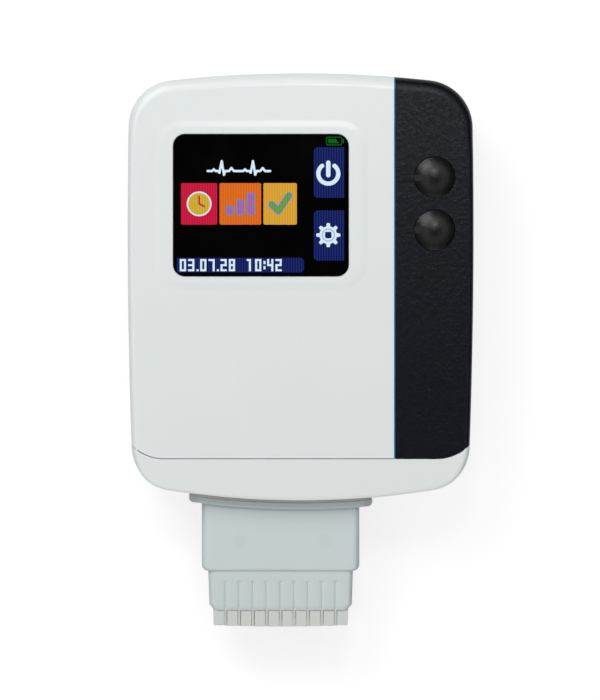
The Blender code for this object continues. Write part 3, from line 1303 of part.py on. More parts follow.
def plug_flange(name, near, far, inset, rounding):
    """A plate that follows the end cap's arc, with round corners seen from the end."""
    half_width = FLANGE_WIDTH / 2 - inset
    outline = flange_outline(near, far, half_width, rounding)
    half_depth = FLANGE_DEPTH / 2 - inset
    mesh = plate_mesh(name, [outline], -half_depth, half_depth)
    limit_name = f"{name}_limit"
    limit_outline = rounded_outline(2 * half_width, 2 * half_depth, FLANGE_CORNER_RADIUS)
    limit = plate_mesh(limit_name, [limit_outline], -OVERRUN - END_CAP_LENGTH, FLANGE_FAR + OVERRUN)
    return mesh, cutter(limit_name, limit, parent=PLUG)


def case_side():
    """Everything on the case's side of the flange's inner face."""
    arc_radius = END_ARC_RADIUS + PLUG_GAP
    outline = [(FLANGE_WIDTH, END_CAP_LENGTH), (-FLANGE_WIDTH, END_CAP_LENGTH)]
    for step in range(2 * END_STEPS + 1):
        x = FLANGE_WIDTH * (step / END_STEPS - 1)
        outline.append((x, END_ARC_RADIUS - math.sqrt(arc_radius**2 - (x + PLUG_X) ** 2)))
    mesh = plate_mesh("case_side", [outline], -FLANGE_DEPTH, FLANGE_DEPTH)
    return cutter("case_side", mesh, parent=PLUG, rotation=(-QUARTER, 0, 0))


def rib_places():
    return [(step - (LEAD_COUNT - 2) / 2) * LEAD_PITCH for step in range(LEAD_COUNT - 1)]


def flute_mesh(name):
    """The cusp between two round lobes of the nose, with a wider pocket where it starts."""
    taper_far = NOSE_FAR - NOSE_CHAMFER_LENGTH
    pocket_near = BLOCK_FAR + FLUTE_START
    pocket_far = pocket_near + FLUTE_POCKET_LENGTH
    slope = NOSE_TAPER / (taper_far - BLOCK_FAR)
    sections = (
        (pocket_near, slope * (pocket_near - BLOCK_FAR), FLUTE_POCKET_SHARES),
        (pocket_far, slope * (pocket_far - BLOCK_FAR), FLUTE_CUSP_SHARES),
        (taper_far, NOSE_TAPER, FLUTE_CUSP_SHARES),
        (NOSE_FAR, NOSE_TAPER + NOSE_CHAMFER_RISE, FLUTE_CUSP_SHARES),
        (NOSE_FAR + FLUTE_DEPTH, NOSE_TAPER + NOSE_CHAMFER_RISE, FLUTE_CUSP_SHARES),
    )
    rings = []
    for height, inset, (width_share, depth_share) in sections:
        face = NOSE_DEPTH / 2 - inset
        side = [
            (FLUTE_HALF_WIDTH * width_share, face - FLUTE_DEPTH * depth_share),
            (FLUTE_HALF_WIDTH, face + FLUTE_DEPTH / 4),
            (FLUTE_HALF_WIDTH, BLOCK_DEPTH),
        ]
        outline = [(0.0, face - FLUTE_DEPTH), *side, *[(-x, y) for x, y in reversed(side)]]
        rings.append(level_ring(outline, height))
    return loft_mesh(name, rings)


def plug_cavity():
    """The hollow of both plug shells, with the mouths for the tongue and the leads."""
    wide = (BLOCK_WIDTH - 2 * PLUG_WALL, BLOCK_DEPTH - 2 * PLUG_WALL)
    narrow = (NOSE_INNER_WIDTH, NOSE_INNER_DEPTH)
    step_far = BLOCK_FAR - PLUG_WALL
    wide_box = ((-wide[0] / 2, -wide[1] / 2, PLUG_CAVITY_NEAR), (wide[0] / 2, wide[1] / 2, step_far))
    narrow_low = (-narrow[0] / 2, -narrow[1] / 2, step_far - PLUG_WALL)
    narrow_box = (narrow_low, (narrow[0] / 2, narrow[1] / 2, PLUG_CAVITY_FAR))
    cavity = cutter("plug_block_hollow", box_mesh("plug_block_hollow", [wide_box]), parent=PLUG)
    add(cavity, cutter("plug_nose_hollow", box_mesh("plug_nose_hollow", [narrow_box]), parent=PLUG))
    tongue = (TONGUE_WIDTH / 2 + FIT_GAP, TONGUE_DEPTH / 2 + FIT_GAP)
    neck = (GROMMET_NECK_WIDTH / 2 + FIT_GAP, GROMMET_DEPTH / 2 + FIT_GAP)
    tongue_box = ((-tongue[0], -tongue[1], -OVERRUN), (*tongue, PLUG_CAVITY_NEAR + OVERRUN))
    neck_box = ((-neck[0], -neck[1], PLUG_CAVITY_FAR - FIT_GAP), (*neck, NOSE_FAR + OVERRUN))
    add(cavity, cutter("tongue_mouth", box_mesh("tongue_mouth", [tongue_box]), parent=PLUG))
    add(cavity, cutter("lead_mouth", box_mesh("lead_mouth", [neck_box]), parent=PLUG))
    return cavity


def plug_shells():
    """Front and rear shell: flange, block, fluted nose and nine ribs between the lead sleeves."""
    cavity = plug_cavity()
    flange_mesh, flange_limit = plug_flange("plug_flange", PLUG_GAP, FLANGE_FAR, 0.0, FLANGE_ROUNDING)
    flange = cutter("plug_flange", flange_mesh, parent=PLUG, rotation=(-QUARTER, 0, 0))
    keep(flange, flange_limit)
    beyond_flange = case_side()

    rib_low = GROMMET_DEPTH / 2 + FIT_GAP
    rib_high = NOSE_END_DEPTH / 2 - RIB_SINK
    near = NOSE_FAR - PLUG_WALL / 2
    ribs = [
        ((x - RIB_WIDTH / 2, rib_low, near), (x + RIB_WIDTH / 2, rib_high, RIB_FAR))
        for x in rib_places()
    ]
    half = FLANGE_DEPTH
    for side, name in ((1, "front"), (-1, "rear")):
        turn = (0, 0, 0) if side > 0 else (0, 0, 2 * QUARTER)
        shell_name = f"plug_{name}_shell"
        shell = piece(shell_name, plug_skin_mesh(shell_name), PLUG_GREY, parent=PLUG)
        for number, x in enumerate(rib_places()):
            flute_name = f"{name}_flute_{number + 1}"
            cut(shell, cutter(flute_name, flute_mesh(flute_name), (x, 0, 0), PLUG, turn))
        add(shell, flange)
        cut(shell, beyond_flange, cavity)
        bosses_name = f"{name}_plug_bosses"
        radius = FRONT_BOSS_RADIUS if side > 0 else REAR_BOSS_RADIUS
        reach = BLOCK_DEPTH / 2 - PLUG_WALL / 2
        bosses = drum_mesh(bosses_name, PLUG_SCREW_PLACES, radius, -reach, reach)
        add(shell, cutter(bosses_name, bosses, parent=PLUG, rotation=(QUARTER, 0, 0)))
        rib_name = f"{name}_ribs"
        add(shell, cutter(rib_name, box_mesh(rib_name, ribs), parent=PLUG, rotation=turn))
        low, high = sorted((-side * half, side * FIT_GAP))
        other_name = f"{name}_other_half"
        other_low = (-FLANGE_WIDTH, low, -END_CAP_LENGTH)
        other = box_mesh(other_name, [(other_low, (FLANGE_WIDTH, high, 2 * RIB_FAR))])
        cut(shell, cutter(other_name, other, parent=PLUG), PLUG_SCREW_HOLES)


def plug_screw_holes():
    """Counterbores from the back of the plug and the holes for the shanks, as one cutter."""
    seat = BLOCK_DEPTH / 2 - PLUG_SCREW_SEAT
    shank_far = PLUG_SCREW_LENGTH + FIT_GAP - seat
    heads = drum_mesh("plug_head_holes", PLUG_SCREW_PLACES, HEAD_HOLE_RADIUS, seat, BLOCK_DEPTH)
    shanks = drum_mesh("plug_shank_holes", PLUG_SCREW_PLACES, SCREW_HOLE_RADIUS, -shank_far, seat + OVERRUN)
    tool = cutter("plug_head_holes", heads, parent=PLUG, rotation=(QUARTER, 0, 0))
    add(tool, cutter("plug_shank_holes", shanks, parent=PLUG, rotation=(QUARTER, 0, 0)))
    return tool


def plug_seal():
    """Dark rubber sheet between the flange and the end cap."""
    near = (PLUG_GAP - PLUG_SEAL_THICKNESS) / 2
    far = near + PLUG_SEAL_THICKNESS
    mesh, limit = plug_flange("plug_seal", near, far, PLUG_SEAL_INSET, PLUG_SEAL_THICKNESS / 2)
    seal = piece("plug_seal", mesh, SEAL, parent=PLUG, rotation=(-QUARTER, 0, 0))
    keep(seal, limit)
    reach = (TONGUE_WIDTH / 2 + FIT_GAP, TONGUE_DEPTH / 2 + FIT_GAP)
    mouth = box_mesh("seal_mouth", [((-reach[0], -reach[1], -OVERRUN), (*reach, FLANGE_FAR))])
    cut(seal, cutter("seal_mouth", mouth, parent=PLUG))


def plug_contact_block():
    """Tongue with contact slots on both faces, held by a collar inside the plug."""
    half_x, half_y = TONGUE_WIDTH / 2, TONGUE_DEPTH / 2
    collar_near = PLUG_CAVITY_NEAR + FIT_GAP
    collar_far = collar_near + COLLAR_LENGTH
    tongue_low = (-half_x, -half_y, TONGUE_NEAR)
    tongue = box_mesh("plug_contact_block", [(tongue_low, (half_x, half_y, collar_far))])
    block = piece("plug_contact_block", tongue, BLACK_PLASTIC, parent=PLUG)
    wide_x, wide_y = half_x + COLLAR_MARGIN, half_y + COLLAR_MARGIN
    collar = box_mesh("tongue_collar", [((-wide_x, -wide_y, collar_near), (wide_x, wide_y, collar_far))])
    add(block, cutter("tongue_collar", collar, parent=PLUG))
    slots = []
    for step in range(CONTACT_SLOTS):
        x = (step - (CONTACT_SLOTS - 1) / 2) * CONTACT_SLOT_PITCH
        left, right = x - CONTACT_SLOT_WIDTH / 2, x + CONTACT_SLOT_WIDTH / 2
        near, far = TONGUE_NEAR - OVERRUN, TONGUE_NEAR + CONTACT_SLOT_LENGTH
        floor, outside = half_y - CONTACT_SLOT_DEPTH, half_y + OVERRUN
        slots.append(((left, floor, near), (right, outside, far)))
        slots.append(((left, -outside, near), (right, -floor, far)))
    cut(block, cutter("contact_slots", box_mesh("contact_slots", slots), parent=PLUG))


def plug_board():
    """Small board between the contact block and the lead grommet, round the screw bosses."""
    half_x, half_y = NOSE_INNER_WIDTH / 2 - PLUG_BOARD_MARGIN, PLUG_BOARD_THICKNESS / 2
    near = PLUG_CAVITY_NEAR + FIT_GAP + COLLAR_LENGTH + FIT_GAP
    far = PLUG_CAVITY_FAR - FIT_GAP - GROMMET_BAR_LENGTH - FIT_GAP
    mesh = box_mesh("plug_board", [((-half_x, -half_y, near), (half_x, half_y, far))])
    board = piece("plug_board", mesh, BOARD_GREEN, parent=PLUG)
    radius = REAR_BOSS_RADIUS + FIT_GAP
    holes = drum_mesh("plug_board_holes", PLUG_SCREW_PLACES, radius, -BLOCK_DEPTH, BLOCK_DEPTH)
    cut(board, cutter("plug_board_holes", holes, parent=PLUG, rotation=(QUARTER, 0, 0)))


def lead_grommet():
    """Soft grommet with a sleeve for each lead, its blind outlets open at the end."""
    half_y = GROMMET_DEPTH / 2
    bar_x, bar_y = GROMMET_NECK_WIDTH / 2, NOSE_INNER_DEPTH / 2 - RUNNING_GAP
    bar_far = PLUG_CAVITY_FAR - FIT_GAP
    bar_low = (-bar_x, -bar_y, bar_far - GROMMET_BAR_LENGTH)
    bar = box_mesh("lead_grommet", [(bar_low, (bar_x, bar_y, bar_far))])
    grommet = piece("lead_grommet", bar, SLEEVE, parent=PLUG)
    neck_mesh = box_mesh("grommet_neck", [((-bar_x, -half_y, bar_far - FIT_GAP), (bar_x, half_y, RIB_FAR))])
    add(grommet, cutter("grommet_neck", neck_mesh, parent=PLUG))
    sleeve_depth = NOSE_END_DEPTH - 2 * SLEEVE_RECESS
    places = [(step - (LEAD_COUNT - 1) / 2) * LEAD_PITCH for step in range(LEAD_COUNT)]
    outlines = [rounded_outline(SLEEVE_WIDTH, sleeve_depth, SLEEVE_ROUNDING, (x, 0.0)) for x in places]
    sleeves_mesh = plate_mesh("lead_sleeves", outlines, NOSE_FAR + FIT_GAP, RIB_FAR)
    sleeves = cutter("lead_sleeves", sleeves_mesh, parent=PLUG)
    limit_near, limit_far = NOSE_END_WIDTH / 2, NOSE_END_WIDTH / 2 - SLEEVE_TAPER
    outline = [
        (limit_near, NOSE_FAR - OVERRUN),
        (limit_far, RIB_FAR + OVERRUN),
        (-limit_far, RIB_FAR + OVERRUN),
        (-limit_near, NOSE_FAR - OVERRUN),
    ]
    limit = plate_mesh("sleeve_limit", [outline], -NOSE_DEPTH, NOSE_DEPTH)
    keep(sleeves, cutter("sleeve_limit", limit, parent=PLUG, rotation=(QUARTER, 0, 0)))
    add(grommet, sleeves)
    outlets = drum_mesh(
        "lead_outlets",
        [(x, 0.0) for x in places],
        OUTLET_RADIUS,
        RIB_FAR - OUTLET_DEPTH,
        RIB_FAR + OVERRUN,
        SMALL_STEPS,
    )
    cut(grommet, cutter("lead_outlets", outlets, parent=PLUG))


def plug_screws():
    for number, (x, distance) in enumerate(PLUG_SCREW_PLACES):
        at = (x, PLUG_SCREW_SEAT - BLOCK_DEPTH / 2, distance)
        hex_screw(f"plug_screw_{number + 1}", PLUG_SCREW_LENGTH, at, PLUG, (QUARTER, 0, 0))


# Assembly

front_cover()
grip_panel()
accent_strip()
display_window()
display_module()
for button_name, button_y, leader_drop in BUTTONS:
    push_button(button_name, button_y, leader_drop)

rear_cover()
case_seal()
case_screws()
battery()
battery_door()

end_cap()
end_cap_seal()
end_cap_screws()

main_board()
chip("processor_chip", PROCESSOR_SIZE, WINDOW_X - (PROCESSOR_SIZE[0] + COMPONENT_GAP) / 2, WINDOW_Y)
chip("memory_chip", MEMORY_SIZE, WINDOW_X + (MEMORY_SIZE[0] + COMPONENT_GAP) / 2, WINDOW_Y)
component_row()
patient_socket()

PLUG_SCREW_HOLES = plug_screw_holes()
plug_shells()
plug_seal()
plug_contact_block()
plug_board()
lead_grommet()
plug_screws()

for item in RECORDER.objects:
    if item.type == "MESH" and item.data.polygons:
        item.data.shade_smooth()
        item.data.set_sharp_from_angle(angle=SMOOTH_ANGLE)
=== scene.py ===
import json
import math

import bmesh
import bpy
from mathutils import Matrix, Vector


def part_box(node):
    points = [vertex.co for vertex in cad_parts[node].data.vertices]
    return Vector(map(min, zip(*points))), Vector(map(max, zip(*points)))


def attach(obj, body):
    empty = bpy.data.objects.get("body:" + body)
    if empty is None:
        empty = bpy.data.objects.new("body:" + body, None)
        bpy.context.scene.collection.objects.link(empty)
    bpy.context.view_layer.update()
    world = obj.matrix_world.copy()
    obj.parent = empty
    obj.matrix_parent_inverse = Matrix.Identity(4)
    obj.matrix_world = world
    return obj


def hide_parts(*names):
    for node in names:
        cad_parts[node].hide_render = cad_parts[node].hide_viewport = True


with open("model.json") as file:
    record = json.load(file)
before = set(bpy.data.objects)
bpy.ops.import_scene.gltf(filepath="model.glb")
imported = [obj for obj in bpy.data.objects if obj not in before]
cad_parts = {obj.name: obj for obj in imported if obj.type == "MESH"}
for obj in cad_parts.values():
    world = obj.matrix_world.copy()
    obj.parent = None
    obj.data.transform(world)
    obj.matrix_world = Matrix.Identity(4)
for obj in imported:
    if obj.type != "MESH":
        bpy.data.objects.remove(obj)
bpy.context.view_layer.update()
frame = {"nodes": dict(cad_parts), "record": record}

# Sizes of the frame. The case's own coordinates count y from its centre, which lies at CASE_Y
PANE_LOW, PANE_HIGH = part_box("display_window")
SOCKET_LOW, SOCKET_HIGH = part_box("patient_socket")
BUTTON_LOW, BUTTON_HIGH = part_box("upper_button")
LOWER_BUTTON_LOW, LOWER_BUTTON_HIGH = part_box("lower_button")
CASE_LENGTH = 0.0862
CASE_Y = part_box("rear_cover")[1].y - CASE_LENGTH / 2
CASE_TO_FRAME = Matrix.Translation((0.0, CASE_Y, 0.0))

# Case outline and edges; each front edge has its width, depth and draft
CASE_WIDTH = 0.06997
CASE_DEPTH = 0.0220
TOP_ARC_RADIUS = 0.2450
END_ARC_RADIUS = 0.1680
SIDE_ARC_RADIUS = 1.2060
SIDE_WIDEST_Y = 0.0115
TOP_CORNER_RADIUS = 0.0097
END_CORNER_RADIUS = 0.0089
COVER_WALL = 0.0024
FRONT_EDGE_RADIUS = 0.0020
FRONT_EDGE_SIDE = (0.0011, 0.0011, 0.00005)
FRONT_EDGE_TOP = (0.0026, 0.0020, 0.00005)
FRONT_EDGE_END = (0.0009, 0.0005, -0.00005)
TOP_EDGE_START = 0.0270
TOP_EDGE_LENGTH = 0.0120
END_EDGE_START = -0.0350
END_EDGE_LENGTH = 0.0050
LEFT_DRAFT = 0.00023
BACK_EDGE_RADIUS = 0.0026
DRAFT = 0.0003
PARTING = CASE_DEPTH / 2
PARTING_GAP = 0.0003

# Seam between the covers and the end cap, closed to a hairline where it shows
END_CAP_LENGTH = 0.0084
SEAM_STRAIGHT = 0.0550
SEAM_CORNER_RADIUS = 0.0092
SEAM_TURN = math.radians(62)
SEAM_Y = END_CAP_LENGTH - CASE_LENGTH / 2
SEAM_GAP = 0.00008
SEAM_CHAMFER = 0.00011
LIP_THICKNESS = 0.0008
LIP_REACH = 0.0018
MOUTH_GAP = 0.00015
WELL_GAP = 0.00025
WELL_DEPTH = 0.0013

# Grip panel and accent strip
STRIP_LEFT = CASE_WIDTH / 2 - 0.01609
PANEL_LEFT = STRIP_LEFT + 0.00026
PANEL_THICKNESS = 0.0011
JOINT_CHAMFER = 0.00006

# Window opening in its soft raised surround
PANE_X = (PANE_LOW.x + PANE_HIGH.x) / 2 + 0.00004
PANE_Y = (PANE_LOW.y + PANE_HIGH.y) / 2 - CASE_Y
PANE_WIDTH = PANE_HIGH.x - PANE_LOW.x + 0.00040
PANE_LENGTH = PANE_HIGH.y - PANE_LOW.y + 0.00028
PANE_ROUNDING = 0.0024
PANE_CHAMFER = 0.0001
WINDOW_GAP = 0.00005
WINDOW_LEDGE = 0.0008
WINDOW_LIP_CHAMFER = 0.00007
SURROUND_MARGIN_X = 0.0041
SURROUND_MARGIN_Y = 0.0030
SURROUND_ROUNDING = 0.0058
SURROUND_RISE = 0.00015
SURROUND_EDGE = 0.0018
SURROUND_STEPS = 8

# Buttons
BUTTON_RADIUS = 0.00405
BUTTON_X = (BUTTON_LOW.x + BUTTON_HIGH.x) / 2
HOLE_RADIUS = BUTTON_RADIUS + 0.00006
HOLE_CHAMFER = 0.00006
DOME_RISE = 0.0012
DOME_EDGE = 0.00015
LEADER_WIDTH = 0.0016
LEADER_RISE = 0.0004
LEADER_UPPER_LEAN = 0.00010
LEADER_LOWER_LEAN = 0.00030
LEADER_REACH = 0.0023
LEADER_START_SHARE = 0.3
UPPER_LEADER_DROP = 0.00025
CROWN_OVERLAP = 0.0005
CROWN_GAP = 0.00002
CROWN_FALL = 0.85
STEM_LENGTH = 0.0013
STEM_RADIUS = 0.0015
COLLAR_THICKNESS = 0.0008
COLLAR_REACH = 0.0009
BUTTON_PLACES = (
    ("upper", (BUTTON_LOW.y + BUTTON_HIGH.y) / 2 - CASE_Y, UPPER_LEADER_DROP),
    ("lower", (LOWER_BUTTON_LOW.y + LOWER_BUTTON_HIGH.y) / 2 - CASE_Y, 0.0),
)

# Patient plug, in a frame whose z runs straight out of the case's end and y to the front
PLUG_X = -0.0040
PLUG_SHIFT = 0.00001
PLUG_TO_FRAME = (
    Matrix.Translation((PLUG_X, CASE_Y - CASE_LENGTH / 2 + PLUG_SHIFT, CASE_DEPTH / 2))
    @ Matrix.Rotation(math.radians(90), 4, "X")
)
PLUG_GAP = 0.0006
FLANGE_THICKNESS = 0.0012
FLANGE_NEAR = PLUG_GAP - 0.00005
FLANGE_FAR = PLUG_GAP + FLANGE_THICKNESS
FLANGE_REACH = 0.00263
FLANGE_DEPTH = 0.0150
FLANGE_EDGE = 0.0002
FLANGE_ROUNDING = 0.0010
FLANGE_CORNER_RADIUS = 0.0030
SEAL_NEAR = 0.00015
SEAL_FAR = PLUG_GAP - 0.00007
SEAL_INSET = 0.00008
SEAL_ROUNDING = 0.0003
SEAL_EDGE = 0.00006
BLOCK_DEPTH = 0.0130
BLOCK_FAR = FLANGE_FAR + 0.0125
BLOCK_CORNER_RADIUS = 0.0014
BLOCK_ROUNDING_SHARE = 0.2
SHOULDER = 0.0013
SHOULDER_RISE = 0.0005
NOSE_FAR = BLOCK_FAR + 0.0079
NOSE_TAPER = 0.0002
NOSE_CHAMFER_WIDTH = 0.00095
NOSE_CHAMFER_LENGTH = 0.0012
NOSE_CHAMFER_RISE = 0.0003
LEAD_COUNT = 10
LEAD_PITCH = 0.00278
RIB_WIDTH = 0.0005
RIB_FAR = NOSE_FAR + 0.00335
RIB_SINK = 0.00008
COMB_BOW = 0.0003
SLEEVE_WIDTH = 0.00222
SLEEVE_SINK = 0.00030
SLEEVE_ROUNDING = 0.00016
SLEEVE_TAPER = 0.0002
SLEEVE_GAP = 0.00002
SLEEVE_END = ((0.0, 0.00015), (0.00005, 0.00004), (0.00015, 0.0))
COMB_BAR_LENGTH = 0.0016
COMB_BAR_INSET = 0.0010
OUTLET_RADIUS = 0.0007
OUTLET_DEPTH = 0.0015
NOSE_END_WIDTH = (LEAD_COUNT - 1) * LEAD_PITCH + 0.0019
NOSE_WIDTH = NOSE_END_WIDTH + 2 * (NOSE_TAPER + NOSE_CHAMFER_WIDTH)
BLOCK_WIDTH = NOSE_WIDTH + 2 * SHOULDER
FLANGE_WIDTH = BLOCK_WIDTH + 2 * FLANGE_REACH
NOSE_END_DEPTH = BLOCK_DEPTH - 2 * (SHOULDER_RISE + NOSE_TAPER + NOSE_CHAMFER_RISE)
GROMMET_HALF_DEPTH = NOSE_END_DEPTH / 2 - 0.0018
SHELL_GAP = 0.0003
SINK_RADIUS = 0.0014
SINK_PLACES = [
    tuple(PLUG_TO_FRAME @ Vector((x, BLOCK_DEPTH / 2, 0.0082))) for x in (-0.0083, 0.0091)
]

# Grooves between the lobes of the plug's nose
FLUTE_START = 0.0020
FLUTE_RAMP = 0.00025
POCKET_LENGTH = 0.0008
POCKET_HALF_WIDTH = 0.00065
POCKET_DEPTH = 0.00034
GROOVE_HALF_WIDTH = 0.00026
GROOVE_DEPTH = 0.00017
LOBE_DROP = 0.00011
LOBE_RAMP = 0.0012
LOBE_START_SHARE = 0.35

# Display, from the pane's centre: keys and symbols, tiles, heart trace and status bar
CELL_PITCH = 0.00052
LAYER = 0.00002
KEY_LEFT, KEY_RIGHT = 0.01067, 0.01682
KEY_LEVELS = ((0.00149, 0.01167), (-0.01117, -0.00103))
KEY_ROUNDING = 0.0008
SYMBOL_X = 0.01358
SYMBOL_RADIUS = 0.00243
POWER_Y = 0.00637
GEAR_Y = -0.00601
TILE_LOW, TILE_HIGH = -0.00391, 0.00447
TILE_SPANS = ((-0.01611, -0.00880), (-0.00835, 0.00005), (0.00050, 0.00723))
MILLIMETRE = 0.001
TRACE_START = (-0.01075, 0.00690)
TRACE_LINE = 0.00046
BEAT = (
    (0.0, 0.0), (0.9, 0.0), (1.25, 0.35), (1.6, 0.0), (2.1, 0.0), (2.4, -0.35), (2.85, 2.0),
    (3.3, -0.75), (3.6, 0.0), (4.3, 0.0), (4.8, 0.6), (5.3, 0.0), (6.3, 0.0),
)
STATUS_CORNERS = ((-0.01694, -0.01354), (0.00869, -0.01058))
STATUS_ROUNDING = 0.0007
DATE_LEFT, TIME_LEFT = -0.01635, -0.00285
DIGIT_FOOT = -0.01330

# Steps that round forms are drawn in
SIDE_STEPS = 10
END_STEPS = 28
CORNER_STEPS = 18
EDGE_STEPS = 12
SEAM_STEPS = 16
ROUNDING_STEPS = 10
DOME_STEPS = 16
RIM_STEPS = 4
CROWN_STEPS = 4
WELL_STEPS = 40
GROOVE_STEPS = 14
TAPER_STEPS = 44
CHAMFER_STEPS = 6
BLOCK_CORNER_STEPS = 6
FLANGE_EDGE_STEPS = 3
SLEEVE_STEPS = 5
BEND_STEPS = 6
TURN_STEPS = 72
SHARPEST_CORNER = 0.0002
OVERRUN = 0.002
QUARTER = math.radians(90)
CREASE = math.radians(32)

# Camera, floor and light; each range of the sky gives two heights or leans and the light at them
PICTURE_HEIGHT = 700
METRES_PER_PIXEL = 0.0002023
CAMERA_DISTANCE = 2.5
CAMERA_X = -0.00008
SILHOUETTE_HEIGHT = CASE_DEPTH * 0.6
FLOOR_REACH = 2.0
FLOOR_COLOUR = (0.30, 0.30, 0.30)
FLOOR_GLOW = 0.77
WORLD_LEAN = (-0.35, 0.65, 0.0)
SKY_LEAN = (-0.50, 0.40, 0.60, 1.0)
SKY_RISE = (0.58, 0.89, 0.0, 1.98)
SKY_CAP = (0.87, 0.95, 1.0, 0.01)
HORIZON = (0.10, 0.30, 0.15, 0.0)
LAMPS = (
    ("overhead", (0.02, 0.125, 0.32), (0.05, 0.05), 0.155),
    ("upper_left", (-0.36, 0.56, 0.60), (0.50, 0.50), 3.7),
    ("low_end", (0.0, -0.80, 0.24), (0.80, 0.16), 2.0),
)


# Materials


class Tree:
    """A node tree that is built up step by step."""

    def __init__(self, tree):
        self.tree = tree

    def feed(self, socket, value):
        """Gives an input a value, or links it to a socket."""
        if isinstance(value, bpy.types.NodeSocket):
            self.tree.links.new(value, socket)
        else:
            socket.default_value = value

    def node(self, kind, inputs, **settings):
        made = self.tree.nodes.new(kind)
        for key, value in settings.items():
            setattr(made, key, value)
        for socket, value in inputs.items():
            self.feed(made.inputs[socket], value)
        return made

    def ranged(self, value, low, high, to_low, to_high):
        limits = {"From Min": low, "From Max": high, "To Min": to_low, "To Max": to_high}
        return self.node("ShaderNodeMapRange", {"Value": value, **limits}).outputs["Result"]

    def reckoned(self, operation, first, second):
        return self.node("ShaderNodeMath", {0: first, 1: second}, operation=operation).outputs[0]


class Paint(Tree):
    """A material that is built round one Principled shader."""

    def __init__(self, name, colour, roughness, metallic=0.0):
        self.material = bpy.data.materials.new(name)
        self.material.use_nodes = True
        super().__init__(self.material.node_tree)
        self.shader = self.tree.nodes["Principled BSDF"]
        self.set("Base Color", (*colour, 1.0))
        self.set("Roughness", roughness)
        self.set("Metallic", metallic)
        self.place = None

    def set(self, socket, value):
        self.feed(self.shader.inputs[socket], value)

    def object_place(self):
        if self.place is None:
            self.place = self.node("ShaderNodeTexCoord", {}).outputs["Object"]
        return self.place

    def noise(self, size, detail=3.0, roughness=0.55):
        """Noise whose features are about as large as size, in metres."""
        inputs = {"Scale": 1.0 / size, "Detail": detail, "Roughness": roughness}
        inputs["Vector"] = self.object_place()
        return self.node("ShaderNodeTexNoise", inputs).outputs["Fac"]

    def stripes(self, pitch):
        """Soft upright stripes across x, from 0 to 1."""
        turn_per_metre = 20
        inputs = {"Scale": 2 * math.pi / (turn_per_metre * pitch), "Vector": self.object_place()}
        kind = {"wave_type": "BANDS", "bands_direction": "X"}
        return self.node("ShaderNodeTexWave", inputs, **kind).outputs["Fac"]

    def blend(self, amount, first, second, kind="MIX"):
        """A colour between first and second by amount; each is a colour or a socket."""
        inputs = {"Factor": amount, 6: first, 7: second}
        return self.node("ShaderNodeMix", inputs, data_type="RGBA", blend_type=kind).outputs[2]

    def mottle(self, noise, colour, low, high):
        """Lets the base colour vary by noise, between two tones of one colour."""
        self.set("Base Color", self.blend(noise, toned(colour, low), toned(colour, high)))

    def bump(self, height, distance):
        made = self.node("ShaderNodeBump", {"Height": height, "Distance": distance})
        self.set("Normal", made.outputs["Normal"])


def toned(colour, factor=1.0):
    return (*(min(part * factor, 1.0) for part in colour), 1.0)


def moulded(name, colour, roughness, mottle=0.02, grain=0.00012, depth=0.000004):
    """Moulded plastic: faint broad mottling, fine spark-eroded grain and uneven gloss."""
    paint = Paint(name, colour, roughness)
    paint.mottle(paint.noise(0.018, 2.0), colour, 1 - mottle, 1 + mottle)
    fine = paint.noise(grain, 2.0)
    paint.set("Roughness", paint.ranged(fine, 0.3, 0.7, roughness - 0.05, roughness + 0.05))
    paint.bump(fine, depth)
    return paint


def shade_sink_marks(paint, places, radius, tone):
    """Faint darker rounds over the screw posts, where the moulding cooled last: painted shade of
    the shallow sink marks there.
    """
    colour = paint.shader.inputs["Base Color"].links[0].from_socket
    for place in places:
        ends = {0: paint.object_place(), 1: place}
        away = paint.node("ShaderNodeVectorMath", ends, operation="DISTANCE").outputs["Value"]
        # Painted shade: inside each round the colour is multiplied by the tone.
        sink_shade = paint.ranged(away, radius * 0.7, radius * 1.2, 1.0, 0.0)
        colour = paint.blend(sink_shade, colour, (tone, tone, tone, 1.0), "MULTIPLY")
    paint.set("Base Color", colour)


def grained(name, colour, light, roughness):
    """Soft-touch skin with a fine leathery grain, with painted highlights: small lighter spots in
    the colour stand in for the glints of the grain.
    """
    paint = Paint(name, colour, roughness)
    fine = paint.noise(0.0008, 4.0, 0.7)
    tone = paint.blend(paint.noise(0.006, 2.0), toned(colour, 0.86), toned(colour, 1.14))
    # Painted highlight: where the fine noise is high, the colour turns to the lighter one as a
    # glint.
    glint_specks = paint.ranged(fine, 0.40, 0.65, 0.0, 1.0)
    paint.set("Base Color", paint.blend(glint_specks, tone, toned(light)))
    paint.set("Roughness", paint.ranged(fine, 0.35, 0.65, roughness + 0.06, roughness - 0.06))
    paint.bump(fine, 0.00008)
    return paint


def rubbed_metal(name, colour, roughness):
    paint = Paint(name, colour, roughness, 1.0)
    fine = paint.noise(0.0003, 3.0)
    paint.mottle(fine, colour, 0.88, 1.08)
    paint.set("Roughness", paint.ranged(fine, 0.3, 0.7, roughness - 0.08, roughness + 0.1))
    return paint


def glossy_pane(name, colour):
    """Black printed pane with a hard clear surface."""
    paint = Paint(name, colour, 0.09)
    smear = paint.noise(0.009, 2.0)
    paint.mottle(smear, colour, 0.8, 1.3)
    paint.set("Roughness", paint.ranged(smear, 0.35, 0.65, 0.07, 0.12))
    return paint


def screen_ink(name, colour, stripe):
    """Lit display colour with the fine upright stripes of the display's cells."""
    paint = Paint(f"screen_{name}", colour, 0.12)
    paint.mottle(paint.stripes(CELL_PITCH), colour, 1 - stripe, 1 + stripe)
    return paint


